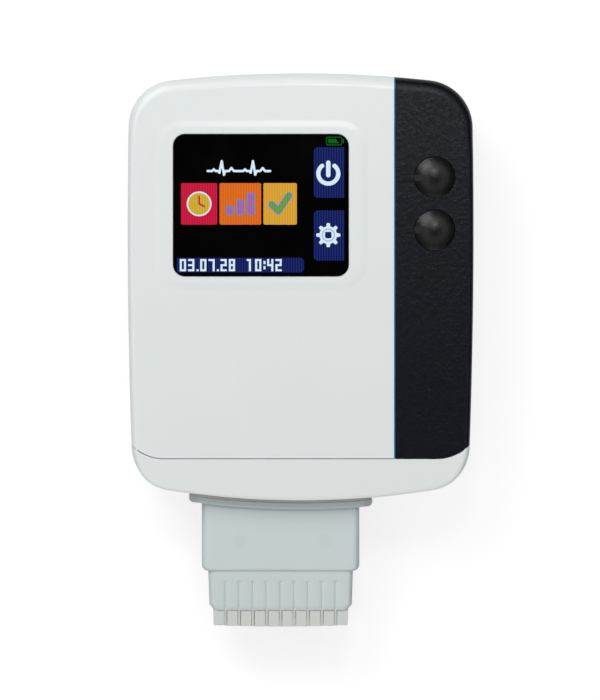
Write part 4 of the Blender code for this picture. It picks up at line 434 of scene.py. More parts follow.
WHITE = moulded("white_moulding", (0.76, 0.80, 0.795), 0.30)
# The second colour is the painted glint colour of the grain.
CHARCOAL = grained("charcoal_skin", (0.0003, 0.0008, 0.0028), (0.0046, 0.0064, 0.0128), 0.30)
CHARCOAL.set("IOR", 1.31)
BLUE = moulded("blue_trim", (0.002, 0.120, 0.340), 0.4)
BLACK = moulded("black_moulding", (0.0006, 0.0007, 0.0012), 0.33, 0.06, 0.00050, 0.000035)
BLACK.set("IOR", 1.41)
GREY = moulded("plug_moulding", (0.582, 0.642, 0.648), 0.46)
# Painted shade of the sink marks on the plug's grey, as faint darker rounds.
shade_sink_marks(GREY, SINK_PLACES, SINK_RADIUS, 0.965)
PANE = glossy_pane("display_pane", (0.0002, 0.0002, 0.0004))
# Painted light: the seal is far paler than the black seal rubber, which lifts its shaded gap to a
# grey line.
SEAL_RUBBER_PAINTED_LIGHT = moulded("plug_seal_painted_light", (0.600, 0.565, 0.530), 0.7, 0.08)
RIB = moulded("rib_moulding", (0.560, 0.585, 0.560), 0.5, 0.03)
SLEEVE = moulded("lead_sleeve", (0.600, 0.630, 0.605), 0.6, 0.03)

SLOT_FINISH = {
    "white_case": WHITE,
    "charcoal_grip": CHARCOAL,
    "blue_accent": BLUE,
    "black_plastic": BLACK,
    "plug_grey": GREY,
    "display_pane": PANE,
    "seal_rubber": moulded("seal_rubber", (0.020, 0.020, 0.021), 0.75, 0.1),
    "lead_sleeve": SLEEVE,
    "steel": rubbed_metal("plated_steel", (0.56, 0.56, 0.57), 0.32),
    "board_green": moulded("solder_mask", (0.010, 0.120, 0.050), 0.45, 0.1),
    "chip_black": moulded("chip_resin", (0.012, 0.012, 0.012), 0.5, 0.1),
    "amber_flex": moulded("amber_film", (0.350, 0.120, 0.020), 0.4, 0.08),
    "battery_wrap": moulded("battery_wrap", (0.020, 0.060, 0.160), 0.5, 0.08),
    "contact_brass": rubbed_metal("gold_contact", (0.70, 0.50, 0.18), 0.3),
}


# Outlines


def rectangle(low, high):
    return [(low[0], low[1]), (high[0], low[1]), (high[0], high[1]), (low[0], high[1])]


def polar(centre, radius, turn):
    return (centre[0] + radius * math.cos(turn), centre[1] + radius * math.sin(turn))


def arc(centre, radius, start, end, steps):
    """Points on an arc that turns anticlockwise from start to end, with both ends."""
    sweep = (end - start) % (2 * math.pi)
    return [polar(centre, radius, start + sweep * step / steps) for step in range(steps + 1)]


def circle(centre, radius, steps=TURN_STEPS):
    return arc(centre, radius, 0.0, 2 * math.pi * (1 - 1 / steps), steps - 1)


def heading(start, end):
    return math.atan2(end[1] - start[1], end[0] - start[0])


def crossing(first, first_radius, second, second_radius, corner):
    """The point nearer to corner where two circles cross."""
    apart = math.dist(first, second)
    along = (first_radius**2 - second_radius**2 + apart**2) / (2 * apart)
    across = math.sqrt(max(first_radius**2 - along**2, 0.0))
    unit = ((second[0] - first[0]) / apart, (second[1] - first[1]) / apart)
    foot = (first[0] + unit[0] * along, first[1] + unit[1] * along)
    choices = [
        (foot[0] - side * unit[1] * across, foot[1] + side * unit[0] * across)
        for side in (1, -1)
    ]
    return min(choices, key=lambda point: math.dist(point, corner))


def case_outline(inset=0.0):
    """The case's outline of tangent arcs, anticlockwise from the right side, moved in by inset."""
    half_width, half_length = CASE_WIDTH / 2, CASE_LENGTH / 2
    sides = (
        ((half_width - SIDE_ARC_RADIUS, SIDE_WIDEST_Y), SIDE_ARC_RADIUS, SIDE_STEPS),
        ((0.0, half_length - TOP_ARC_RADIUS), TOP_ARC_RADIUS, END_STEPS),
        ((SIDE_ARC_RADIUS - half_width, SIDE_WIDEST_Y), SIDE_ARC_RADIUS, SIDE_STEPS),
        ((0.0, END_ARC_RADIUS - half_length), END_ARC_RADIUS, END_STEPS),
    )
    corners = (
        (TOP_CORNER_RADIUS, (half_width, half_length)),
        (TOP_CORNER_RADIUS, (-half_width, half_length)),
        (END_CORNER_RADIUS, (-half_width, -half_length)),
        (END_CORNER_RADIUS, (half_width, -half_length)),
    )
    fillets = []
    for number, (full_rounding, corner) in enumerate(corners):
        rounding = max(full_rounding - inset, SHARPEST_CORNER)
        first, first_radius, _ = sides[number]
        second, second_radius, _ = sides[(number + 1) % len(sides)]
        reach = inset + rounding
        centre = crossing(first, first_radius - reach, second, second_radius - reach, corner)
        fillets.append((centre, rounding))
    outline = []
    for number, (centre, radius, steps) in enumerate(sides):
        before = fillets[number - 1][0]
        after, rounding = fillets[number]
        following = sides[(number + 1) % len(sides)][0]
        turn_in, turn_out = heading(centre, after), heading(following, after)
        outline += arc(centre, radius - inset, heading(centre, before), turn_in, steps)[:-1]
        outline += arc(after, rounding, turn_in, turn_out, CORNER_STEPS)[:-1]
    return outline


def rounded_outline(
    width, length, rounding, centre=(0.0, 0.0), steps=ROUNDING_STEPS, sides=(-1, 1)
):
    """A rectangle, anticlockwise, with round corners on its left, its right or both sides."""
    outline = []
    for number, (side_x, side_y) in enumerate(((1, 1), (-1, 1), (-1, -1), (1, -1))):
        held = rounding if side_x in sides else 0.0
        x = centre[0] + side_x * (width / 2 - held)
        y = centre[1] + side_y * (length / 2 - held)
        if held:
            outline += arc((x, y), held, QUARTER * number, QUARTER * (number + 1), steps)
        else:
            outline.append((x, y))
    return outline


def pane_outline(grow):
    """The window's outline, grown all round."""
    width, length = PANE_WIDTH + 2 * grow, PANE_LENGTH + 2 * grow
    return rounded_outline(width, length, PANE_ROUNDING + grow, (PANE_X, PANE_Y))


def seam_path(shift=0.0):
    """The seam from left to right, moved by shift towards the lower end."""
    bend = (SEAM_STRAIGHT / 2, SEAM_Y + SEAM_CORNER_RADIUS)
    right = arc(bend, SEAM_CORNER_RADIUS + shift, -QUARTER, SEAM_TURN - QUARTER, SEAM_STEPS)
    left = [(-x, y) for x, y in reversed(right)]
    return [(-CASE_WIDTH, left[0][1]), *left, *right, (CASE_WIDTH, right[-1][1])]


def smooth(share):
    held = min(max(share, 0.0), 1.0)
    return held * held * (3 - 2 * held)


# Solids


def in_scene(name, data):
    item = bpy.data.objects.new(name, data)
    bpy.context.scene.collection.objects.link(item)
    return item


def solid(name, shape):
    bmesh.ops.recalc_face_normals(shape, faces=shape.faces)
    mesh = bpy.data.meshes.new(name)
    shape.to_mesh(mesh)
    shape.free()
    return in_scene(name, mesh)


def bridge(shape, loops):
    """Faces between each loop of points and the next."""
    for lower, upper in zip(loops, loops[1:]):
        for number in range(len(lower)):
            after = (number + 1) % len(lower)
            shape.faces.new((lower[number], lower[after], upper[after], upper[number]))


def add_loft(shape, rings):
    """A closed body through rings of as many points each, capped at both ends."""
    loops = [[shape.verts.new(point) for point in ring] for ring in rings]
    bridge(shape, loops)
    shape.faces.new(loops[0])
    shape.faces.new(loops[-1])


def lofted(name, rings):
    shape = bmesh.new()
    add_loft(shape, rings)
    return solid(name, shape)


def level_ring(outline, height):
    return [(x, y, height) for x, y in outline]


def upright_rings(outline, near, far):
    """An outline in x and z at two places along y."""
    return [[(x, y, z) for x, z in outline] for y in (near, far)]


def plate(name, outlines, low, high):
    """One or more flat outlines, extruded from low to high."""
    shape = bmesh.new()
    for outline in outlines:
        add_loft(shape, [level_ring(outline, low), level_ring(outline, high)])
    return solid(name, shape)


def box(name, low, high):
    """A box from its lowest to its highest corner."""
    return plate(name, [rectangle(low, high)], low[2], high[2])


def back_rings(offset):
    """Rings that round the case's back edge, from the flat face out to the side wall."""
    inner = max(BACK_EDGE_RADIUS - offset, 0.0)
    steps = round(EDGE_STEPS * inner / BACK_EDGE_RADIUS)
    if steps == 0:
        return [level_ring(case_outline(DRAFT + offset), offset)]
    rings = []
    for step in range(steps + 1):
        turn = QUARTER * step / steps
        inset = DRAFT + offset + inner * (1 - math.sin(turn))
        rings.append(level_ring(case_outline(inset), offset + inner * (1 - math.cos(turn))))
    return rings


def front_ring(offset, turn):
    """One ring of the case's rounded front edge, from the side wall at turn 0 to the flat face.

    The edge is wide at the top end, narrower along the sides and shallow at the lower end.
    Each of the three is given by its width, its depth and how far it starts inside the outline.
    """
    plain, moved = case_outline(offset), case_outline(offset + FRONT_EDGE_RADIUS)
    left_over = max(1 - offset / FRONT_EDGE_RADIUS, 0.0)
    ring = []
    for (x, y), (far_x, far_y) in zip(plain, moved):
        top = smooth((y - TOP_EDGE_START) / TOP_EDGE_LENGTH)
        end = smooth((END_EDGE_START - y) / END_EDGE_LENGTH)
        width, depth, draft = (
            side + (at_top - side) * top + (at_end - side) * end
            for side, at_top, at_end in zip(FRONT_EDGE_SIDE, FRONT_EDGE_TOP, FRONT_EDGE_END)
        )
        draft += LEFT_DRAFT * smooth(-x / CASE_WIDTH * 4 - 1) * (1 - top) * (1 - end)
        inset = draft + width * left_over * (1 - math.cos(turn))
        way = inset / FRONT_EDGE_RADIUS
        height = CASE_DEPTH - offset - depth * left_over * (1 - math.sin(turn))
        ring.append((x + (far_x - x) * way, y + (far_y - y) * way, height))
    return ring


def case_skin(name, offset=0.0):
    """The case as a solid, moved in by offset, with its edges rounded at back and front."""
    rings = back_rings(offset)
    rings.append(level_ring(case_outline(offset), PARTING))
    steps = EDGE_STEPS if offset < FRONT_EDGE_RADIUS else 0
    rings += [front_ring(offset, QUARTER * step / EDGE_STEPS) for step in range(steps)]
    rings.append(front_ring(offset, QUARTER))
    return lofted(name, rings)


def turned(name, profile, steps=TURN_STEPS):
    """A closed body turned about z, from points (radius, z) that start and end on the axis."""
    shape = bmesh.new()
    loops = []
    for radius, z in profile[1:-1]:
        ring = level_ring(circle((0.0, 0.0), radius, steps), z)
        loops.append([shape.verts.new(point) for point in ring])
    bridge(shape, loops)
    for loop, z in ((loops[0], profile[0][1]), (loops[-1], profile[-1][1])):
        tip = shape.verts.new((0.0, 0.0, z))
        for number in range(steps):
            shape.faces.new((loop[number], loop[(number + 1) % steps], tip))
    return solid(name, shape)


# Pieces


def modify(item, kind, **settings):
    made = item.modifiers.new(kind.lower(), kind)
    for key, value in settings.items():
        setattr(made, key, value)


# Bodies that only cut or join pieces, and leave the scene when all pieces stand
TOOLS = []


def combine(item, operation, *tools):
    for tool in tools:
        modify(item, "BOOLEAN", operation=operation, object=tool)
    TOOLS.extend(tools)


def cut(item, *tools):
    combine(item, "DIFFERENCE", *tools)


def add(item, *tools):
    combine(item, "UNION", *tools)


def keep(item, *tools):
    combine(item, "INTERSECT", *tools)


def settle(item):
    """Turns the modifiers of a piece into its mesh."""
    graph = bpy.context.evaluated_depsgraph_get()
    mesh = bpy.data.meshes.new_from_object(item.evaluated_get(graph))
    item.modifiers.clear()
    item.data = mesh


def dress(item, paint, body, placed=CASE_TO_FRAME, nodes=()):
    """Puts a piece in the frame with its finish, its body and the nodes that it stands for."""
    settle(item)
    item.data.transform(placed)
    item.data.materials.clear()
    item.data.materials.append(paint.material)
    item.data.shade_smooth()
    item.data.set_sharp_from_angle(angle=CREASE)
    modify(item, "WEIGHTED_NORMAL", keep_sharp=True)
    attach(item, body)
    if nodes:
        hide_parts(*nodes)


def drop_tools():
    for tool in set(TOOLS):
        bpy.data.objects.remove(tool, do_unlink=True)


def flared(low, face, chamfer):
    """Heights of a tool with its growth at each, which cuts a chamfer where it meets a face."""
    flare = chamfer + OVERRUN if chamfer else 0.0
    return ((low, 0.0), (face - chamfer, 0.0), (face + OVERRUN, flare))


def seam_tool(name, shift, towards_end, chamfer=0.0):
    """Everything beyond the seam, opened by a chamfer at the front face."""
    far = -CASE_LENGTH if towards_end else CASE_LENGTH
    rings = []
    for height, spread in flared(-OVERRUN, CASE_DEPTH, chamfer):
        path = seam_path(shift + (spread if towards_end else -spread))
        rings.append(level_ring(path + [(CASE_WIDTH, far), (-CASE_WIDTH, far)], height))
    return lofted(name, rings)


def window_tool(name, margin, low, chamfer=0.0):
    """The window's outline grown by margin, with a chamfer at the surround's face."""
    levels = flared(low, CASE_DEPTH + SURROUND_RISE, chamfer)
    rings = [level_ring(pane_outline(margin + grow), height) for height, grow in levels]
    return lofted(name, rings)


def surround_solid():
    """The low raised contour round the window, with an edge that swells softly."""
    levels = [(0.0, CASE_DEPTH - COVER_WALL / 2)]
    for step in range(SURROUND_STEPS + 1):
        share = step / SURROUND_STEPS
        levels.append((share * SURROUND_EDGE, CASE_DEPTH + smooth(share) * SURROUND_RISE))
    rings = []
    for inset, height in levels:
        outline = rounded_outline(
            PANE_WIDTH + 2 * (SURROUND_MARGIN_X - inset),
            PANE_LENGTH + 2 * (SURROUND_MARGIN_Y - inset),
            SURROUND_ROUNDING - inset,
            (PANE_X, PANE_Y),
        )
        rings.append(level_ring(outline, height))
    return lofted("surround", rings)


def hole_tool(name, face, chamfer):
    """The holes of both buttons, with a chamfer where they meet the face."""
    levels = flared(PARTING, face, chamfer)
    shape = bmesh.new()
    for _, y, _ in BUTTON_PLACES:
        place = (BUTTON_X, y)
        rings = [level_ring(circle(place, HOLE_RADIUS + grow), height) for height, grow in levels]
        add_loft(shape, rings)
    return solid(name, shape)


def groove_tool(name, x, width):
    """A fine V along y in the front face, which eases the edges of a joint."""
    reach, high = width + OVERRUN, CASE_DEPTH + OVERRUN
    outline = [(x - reach, high), (x, CASE_DEPTH - width), (x + reach, high)]
    return lofted(name, upright_rings(outline, -CASE_LENGTH, CASE_LENGTH))


def make_case():
    """Front cover, grip panel and accent strip, cut from one skin."""
    reach, low, high = CASE_LENGTH, -OVERRUN, CASE_DEPTH + OVERRUN
    behind = box("behind", (-reach, -reach, low), (reach, reach, PARTING + PARTING_GAP / 2))
    beyond = seam_tool("beyond_seam", -SEAM_GAP / 2, True, SEAM_CHAMFER)
    holes = hole_tool("button_holes", CASE_DEPTH, HOLE_CHAMFER)
    bed = case_skin("bed", PANEL_THICKNESS)
    right = box("right", (STRIP_LEFT, -reach, low), (reach, reach, high))
    cut(right, bed)
    rebate = window_tool("rebate", WINDOW_GAP, PANE_LOW.z - WINDOW_GAP, WINDOW_LIP_CHAMFER)
    opening = window_tool("opening", -WINDOW_LEDGE, PARTING)
    strip_groove = groove_tool("strip_groove", STRIP_LEFT, JOINT_CHAMFER)
    panel_groove = groove_tool("panel_groove", PANEL_LEFT, JOINT_CHAMFER)

    cover = case_skin("front_cover_shell")
    cut(cover, behind, right, case_skin("cavity", COVER_WALL))
    add(cover, surround_solid())
    cut(cover, rebate, opening, holes, beyond, strip_groove)
    dress(cover, WHITE, "recorder", nodes=("front_cover",))

    panel = case_skin("grip_skin")
    keep(panel, box("side", (PANEL_LEFT, -reach, low), (reach, reach, high)))
    cut(panel, bed, behind, panel_groove, holes)
    add(panel, *(leader_ridge(*place) for place in BUTTON_PLACES))
    cut(panel, hole_tool("button_bores", high, 0.0), beyond)
    dress(panel, CHARCOAL, "recorder", nodes=("grip_panel",))

    strip = case_skin("accent_trim")
    keep(strip, box("between", (STRIP_LEFT, -reach, low), (PANEL_LEFT, reach, high)))
    cut(strip, bed, behind, strip_groove, panel_groove, beyond)
    dress(strip, BLUE, "recorder", nodes=("accent_strip",))


def ridge_section(low, foot, high):
    """Section across a leader ridge, with sides that lean in from foot up to high."""
    half = LEADER_WIDTH / 2
    return [
        (half, low),
        (half, foot),
        (half - LEADER_UPPER_LEAN, high),
        (LEADER_LOWER_LEAN - half, high),
        (-half, foot),
        (-half, low),
    ]


def leader_ridge(name, y, drop_by):
    """A low bar with leaning sides that runs from the trim to the button."""
    low = CASE_DEPTH - PANEL_THICKNESS / 2
    start = PANEL_LEFT + LEADER_RISE / 2
    rings = []
    for x, share in ((start, LEADER_START_SHARE), (start + LEADER_RISE / 2, 1.0), (BUTTON_X, 1.0)):
        section = ridge_section(low, CASE_DEPTH, CASE_DEPTH + LEADER_RISE * share)
        rings.append([(x, y - drop_by + across, z) for across, z in section])
    return lofted(f"{name}_ridge", rings)


def make_end_cap():
    """White end piece with its lip, the socket's mouth and the screw wells."""
    socket_floor = CASE_DEPTH - SOCKET_HIGH.z
    mouth = box(
        "mouth",
        (SOCKET_LOW.x - MOUTH_GAP, SOCKET_LOW.y - CASE_Y - OVERRUN, socket_floor - MOUTH_GAP),
        (SOCKET_HIGH.x + MOUTH_GAP, SEAM_Y, CASE_DEPTH - socket_floor + MOUTH_GAP),
    )
    before = seam_tool("before_lip", -LIP_REACH, False)
    around = seam_tool("around_lip", SEAM_GAP / 2, False, SEAM_CHAMFER)
    cut(around, case_skin("lip_core", COVER_WALL + MOUTH_GAP))
    cavity = case_skin("end_cavity", COVER_WALL + LIP_THICKNESS)
    shell = case_skin("end_cap_shell")
    cut(shell, before, around, cavity, mouth, screw_wells())
    dress(shell, WHITE, "recorder", nodes=("end_cap",))


def screw_wells():
    """Round wells in which the heads of the end cap's screws lie."""
    shape = bmesh.new()
    for name in ("end_cap_screw_1", "end_cap_screw_2"):
        low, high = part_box(name)
        centre = ((low.x + high.x) / 2, (low.z + high.z) / 2)
        outline = circle(centre, (high.x - low.x) / 2 + WELL_GAP, WELL_STEPS)
        head = low.y - CASE_Y
        add_loft(shape, upright_rings(outline, head - 4 * OVERRUN, head + WELL_DEPTH))
    return solid("screw_wells", shape)


def make_window():
    """Glossy pane with a fine chamfer."""
    low, high = PANE_LOW.z, PANE_HIGH.z
    levels = ((0.0, low), (0.0, high - PANE_CHAMFER), (PANE_CHAMFER, high))
    rings = [level_ring(pane_outline(-inset), height) for inset, height in levels]
    pane = lofted("window_pane", rings)
    dress(pane, PANE, "recorder", nodes=("display_window",))


def make_button(name, y, drop_by):
    """Convex cap with an eased rim, and the end of the leader ridge on it."""
    dome_radius = (BUTTON_RADIUS**2 + DOME_RISE**2) / (2 * DOME_RISE)
    dome_turn = math.asin((BUTTON_RADIUS - DOME_EDGE) / dome_radius)
    profile = []
    for step in range(DOME_STEPS + 1):
        turn = dome_turn * step / DOME_STEPS
        height = DOME_RISE - dome_radius * (1 - math.cos(turn))
        profile.append((dome_radius * math.sin(turn), height))
    rim = profile[-1][1]
    for step in range(1, RIM_STEPS + 1):
        turn = dome_turn + (QUARTER - dome_turn) * step / RIM_STEPS
        reach = BUTTON_RADIUS - DOME_EDGE * (1 - math.sin(turn))
        profile.append((reach, rim - DOME_EDGE * (1 - math.cos(turn))))
    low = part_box(f"{name}_button")[0].z - CASE_DEPTH
    collar_low = low + STEM_LENGTH
    collar_radius = BUTTON_RADIUS + COLLAR_REACH
    profile += [
        (BUTTON_RADIUS, collar_low + COLLAR_THICKNESS),
        (collar_radius, collar_low + COLLAR_THICKNESS),
        (collar_radius, collar_low),
        (STEM_RADIUS, collar_low),
        (STEM_RADIUS, low),
        (0.0, low),
    ]
    cap = turned(f"{name}_button_cap", profile)
    reach = 2 * collar_radius
    cut(cap, box("flat", (BUTTON_RADIUS, -reach, low - OVERRUN), (reach, reach, rim)))
    crown = crown_solid(drop_by, dome_radius)
    edge, foot, top = BUTTON_RADIUS - CROWN_GAP, -DOME_RISE, 2 * DOME_RISE
    keep(crown, turned("bound", [(0.0, foot), (edge, foot), (edge, top), (0.0, top)]))
    add(cap, crown)
    placed = Matrix.Translation((BUTTON_X, y + CASE_Y, CASE_DEPTH))
    dress(cap, BLACK, f"{name}_button", placed, (f"{name}_button",))


def crown_solid(drop_by, dome_radius):
    """The leader ridge's end on the dome, which sinks into it towards the middle."""
    near, far = -BUTTON_RADIUS - CROWN_OVERLAP, LEADER_REACH - BUTTON_RADIUS
    far_high = DOME_RISE - dome_radius + math.sqrt(dome_radius**2 - far**2) - CROWN_GAP
    rings = []
    for step in range(CROWN_STEPS + 1):
        share = step / CROWN_STEPS
        high = LEADER_RISE + (far_high - LEADER_RISE) * share**CROWN_FALL
        section = ridge_section(-DOME_RISE / 2, high - LEADER_RISE, high)
        rings.append([(near + share * (far - near), across - drop_by, z) for across, z in section])
    return lofted("crown", rings)


# Patient plug


def plug_ring(width, depth, rounding, height):
    """A rounded rectangle whose long sides have the same closely spaced points on every ring."""
    reach = (LEAD_COUNT - 1) * LEAD_PITCH / 2
    count = (LEAD_COUNT - 1) * GROOVE_STEPS
    across = [reach - 2 * reach * step / count for step in range(count + 1)]
    corner = rounded_outline(width, depth, rounding, steps=BLOCK_CORNER_STEPS)
    quarter = len(corner) // 4
    right_front, left_front = corner[:quarter], corner[quarter : 2 * quarter]
    left_back, right_back = corner[2 * quarter : 3 * quarter], corner[3 * quarter :]
    front = [(x, depth / 2) for x in across]
    back = [(-x, -depth / 2) for x in across]
    outline = right_front + front + left_front + left_back + back + right_back
    return [(x, y, height) for x, y in outline]


def groove_depth(x, along):
    """How deep the nose's face lies below its plain form, at x and a distance along the nose."""
    nearest = min(rib_places(), key=lambda place: abs(place - x))
    away = abs(x - nearest)
    start = along - FLUTE_START
    swell = smooth(start / LOBE_RAMP + LOBE_START_SHARE)
    lobe = LOBE_DROP * swell * max(1 - 2 * away / LEAD_PITCH, 0.0) ** 2
    share = min(max(start / POCKET_LENGTH, 0.0), 1.0)
    half = POCKET_HALF_WIDTH + (GROOVE_HALF_WIDTH - POCKET_HALF_WIDTH) * share
    deep = POCKET_DEPTH + (GROOVE_DEPTH - POCKET_DEPTH) * share
    groove = deep * smooth(start / FLUTE_RAMP) * max(1 - away / half, 0.0)
    return lobe + groove


def rib_places():
    return [(step - (LEAD_COUNT - 2) / 2) * LEAD_PITCH for step in range(LEAD_COUNT - 1)]


def plug_skin_rings():
    """Block and nose, rounded at the shoulder and chamfered at the end, with the grooves."""
    sections = [(0.0, 0.0, PLUG_GAP), (0.0, 0.0, BLOCK_FAR - SHOULDER)]
    for step in range(1, EDGE_STEPS + 1):
        turn = QUARTER * step / EDGE_STEPS
        left = SHOULDER * (1 - math.sin(turn))
        sunk = 1 - math.sqrt(1 - max(1 - left / SHOULDER_RISE, 0.0) ** 2)
        sections.append((SHOULDER * (1 - math.cos(turn)), SHOULDER_RISE * sunk, BLOCK_FAR - left))
    taper_far = NOSE_FAR - NOSE_CHAMFER_LENGTH
    for step in range(1, TAPER_STEPS + 1):
        share = step / TAPER_STEPS
        taper = NOSE_TAPER * share
        along = BLOCK_FAR + (taper_far - BLOCK_FAR) * share
        sections.append((SHOULDER + taper, SHOULDER_RISE + taper, along))
    for step in range(1, CHAMFER_STEPS + 1):
        share = step / CHAMFER_STEPS
        width_inset = SHOULDER + NOSE_TAPER + NOSE_CHAMFER_WIDTH * share
        depth_inset = SHOULDER_RISE + NOSE_TAPER + NOSE_CHAMFER_RISE * share * share
        sections.append((width_inset, depth_inset, taper_far + NOSE_CHAMFER_LENGTH * share))
    rings = []
    for inset, depth_inset, height in sections:
        rounding = BLOCK_CORNER_RADIUS - inset * BLOCK_ROUNDING_SHARE
        ring = plug_ring(BLOCK_WIDTH - 2 * inset, BLOCK_DEPTH - 2 * depth_inset, rounding, height)
        along = height - BLOCK_FAR
        if along > 0:
            ring = [
                (x, y - math.copysign(groove_depth(x, along), y), z)
                if abs(x) < NOSE_END_WIDTH / 2 - rounding
                else (x, y, z)
                for x, y, z in ring
            ]
        rings.append(ring)
    return rings


def flange_outline(near, far, half_width, rounding, inset=0.0):
    """A band that follows the end cap's arc from near to far, with its far corners rounded."""
    centre = (-PLUG_X, END_ARC_RADIUS)
    outer = END_ARC_RADIUS + far - inset
    inner = END_ARC_RADIUS + near + inset
    half, rounding = half_width - inset, rounding - inset
    bends = []
    for side in (-1, 1):
        x = side * (half - rounding)
        bends.append((x, centre[1] - math.sqrt((outer - rounding) ** 2 - (x - centre[0]) ** 2)))
    turns = [heading(centre, bend) for bend in bends]
    outline = arc(bends[0], rounding, 2 * QUARTER, turns[0], ROUNDING_STEPS)[:-1]
    outline += arc(centre, outer, turns[0], turns[1], END_STEPS)[:-1]
    outline += arc(bends[1], rounding, turns[1], 0.0, ROUNDING_STEPS)
    for step in range(END_STEPS + 1):
        x = half - 2 * half * step / END_STEPS
        outline.append((x, centre[1] - math.sqrt(inner**2 - (x - centre[0]) ** 2)))
    return outline


def flange_plate(name, near, far, inset, rounding, edge):
    """A plate that follows the end cap's arc, with round corners and eased long edges."""
    half_width, half_depth = FLANGE_WIDTH / 2 - inset, FLANGE_DEPTH / 2 - inset
    sections = []
    for step in range(FLANGE_EDGE_STEPS + 1):
        turn = QUARTER * step / FLANGE_EDGE_STEPS
        sections.append((edge * (1 - math.sin(turn)), half_depth - edge * (1 - math.cos(turn))))
    rings = []
    for side in (-1, 1):
        for extra, reach in sections[::-side]:
            outline = flange_outline(near, far, half_width, rounding, extra)
            rings.append([(x, side * reach, -y) for x, y in outline])
    made = lofted(name, rings)
    limit = rounded_outline(2 * half_width, 2 * half_depth, FLANGE_CORNER_RADIUS)
    keep(made, plate(f"{name}_limit", [limit], -FLANGE_WIDTH, FLANGE_WIDTH))
    return made


def comb_end(x):
    return RIB_FAR - COMB_BOW * (2 * x / NOSE_END_WIDTH) ** 2


def make_plug():
    """Front shell with its flange and grooved nose, the ribs, and the row of lead sleeves."""
    shell = lofted("plug_front_skin", plug_skin_rings())
    add(shell, flange_plate("flange", FLANGE_NEAR, FLANGE_FAR, 0.0, FLANGE_ROUNDING, FLANGE_EDGE))
    wide, deep, far = FLANGE_WIDTH, FLANGE_DEPTH, 2 * RIB_FAR
    cut(shell, box("rear_half", (-wide, -deep, -wide), (wide, SHELL_GAP / 2, far)))
    dress(shell, GREY, "plug", PLUG_TO_FRAME, ("plug_front_shell",))
    dress(lead_ribs(), RIB, "plug", PLUG_TO_FRAME)
    seal = flange_plate("flange_seal", SEAL_NEAR, SEAL_FAR, SEAL_INSET, SEAL_ROUNDING, SEAL_EDGE)
    # The seal wears the pale paint that carries painted light.
    dress(seal, SEAL_RUBBER_PAINTED_LIGHT, "plug", PLUG_TO_FRAME, ("plug_seal",))
    dress(lead_comb(), SLEEVE, "plug", PLUG_TO_FRAME, ("lead_grommet",))


def lead_ribs():
    """Thin ribs between the sleeves, each with an eased front edge."""
    shape = bmesh.new()
    low, high = GROMMET_HALF_DEPTH, NOSE_END_DEPTH / 2 - RIB_SINK
    for x in rib_places():
        outline = rounded_outline(RIB_WIDTH, high - low, RIB_WIDTH / 4, (x, (high + low) / 2), 3)
        rings = [level_ring(outline, NOSE_FAR - OVERRUN / 2), level_ring(outline, comb_end(x))]
        add_loft(shape, rings)
    return solid("lead_ribs", shape)


def lead_comb():
    """Ten flat sleeves with eased edges on one bar, each with its blind outlet."""
    shape = bmesh.new()
    places = [(step - (LEAD_COUNT - 1) / 2) * LEAD_PITCH for step in range(LEAD_COUNT)]
    depth = NOSE_END_DEPTH - 2 * SLEEVE_SINK
    turns = outline_turns(SLEEVE_STEPS)
    for x in places:
        far = comb_end(x)
        outermost = abs(x) > places[-1] - LEAD_PITCH / 2
        middle = x - math.copysign(SLEEVE_TAPER / 2, x) if outermost else x
        sections = [(0.0, NOSE_FAR + SLEEVE_GAP, x)]
        sections += [(inset, far - back, middle) for inset, back in SLEEVE_END]
        rings = []
        for inset, height, at in sections:
            width, thick = SLEEVE_WIDTH - 2 * inset, depth - 2 * inset
            rounding = SLEEVE_ROUNDING - inset
            outline = rounded_outline(width, thick, rounding, (at, 0.0), SLEEVE_STEPS)
            rings.append(level_ring(outline, height))
        outlet = [polar((middle, 0.0), OUTLET_RADIUS, turn) for turn in turns]
        rings += [level_ring(outlet, far), level_ring(outlet, far - OUTLET_DEPTH)]
        add_loft(shape, rings)
    low, high = NOSE_FAR - OVERRUN, NOSE_FAR + COMB_BAR_LENGTH
    half = NOSE_END_WIDTH / 2 - COMB_BAR_INSET
    outline = [(half, low), (half, high), (-half, high), (-half, low)]
    add_loft(shape, upright_rings(outline, -GROMMET_HALF_DEPTH, GROMMET_HALF_DEPTH))
    return solid("lead_comb", shape)


def outline_turns(steps):
    """Angles of the points of rounded_outline(), so that a circle pairs with it."""
    return [QUARTER * (number + step / steps) for number in range(4) for step in range(steps + 1)]


# What the display shows


SCREEN_WHITE = screen_ink("white", (0.72, 0.86, 0.98), 0.04)
SCREEN_NAVY = screen_ink("navy", (0.0085, 0.017, 0.120), 0.55)
SCREEN_CRIMSON = screen_ink("crimson", (0.58, 0.012, 0.050), 0.16)
SCREEN_ORANGE = screen_ink("orange", (0.74, 0.150, 0.015), 0.14)
SCREEN_AMBER = screen_ink("amber", (0.72, 0.370, 0.040), 0.12)
SCREEN_GOLD = screen_ink("gold", (0.62, 0.420, 0.040), 0.14)
SCREEN_LILAC = screen_ink("lilac", (0.42, 0.130, 0.420), 0.12)
SCREEN_SKY = screen_ink("sky", (0.080, 0.260, 0.620), 0.1)
SCREEN_GREEN = screen_ink("green", (0.150, 0.360, 0.030), 0.14)
SCREEN_LEAF = screen_ink("leaf", (0.003, 0.120, 0.010), 0.2)


def ink(name, outlines, paint, layer):
    """Flat shapes on the pane, given from its centre, in a thin layer of their own."""
    base = PANE_HIGH.z + (layer - 1) * LAYER
    item = plate(f"screen_{name}", outlines, base - LAYER / 2, base + LAYER)
    placed = Matrix.Translation((PANE_X, PANE_Y + CASE_Y, 0.0))
    dress(item, paint, "recorder", placed)


def ink_block(name, width, length, rounding, centre, paint, layer):
    """A small rectangle with round corners, as ink."""
    ink(name, [rounded_outline(width, length, rounding, centre, 4)], paint, layer)


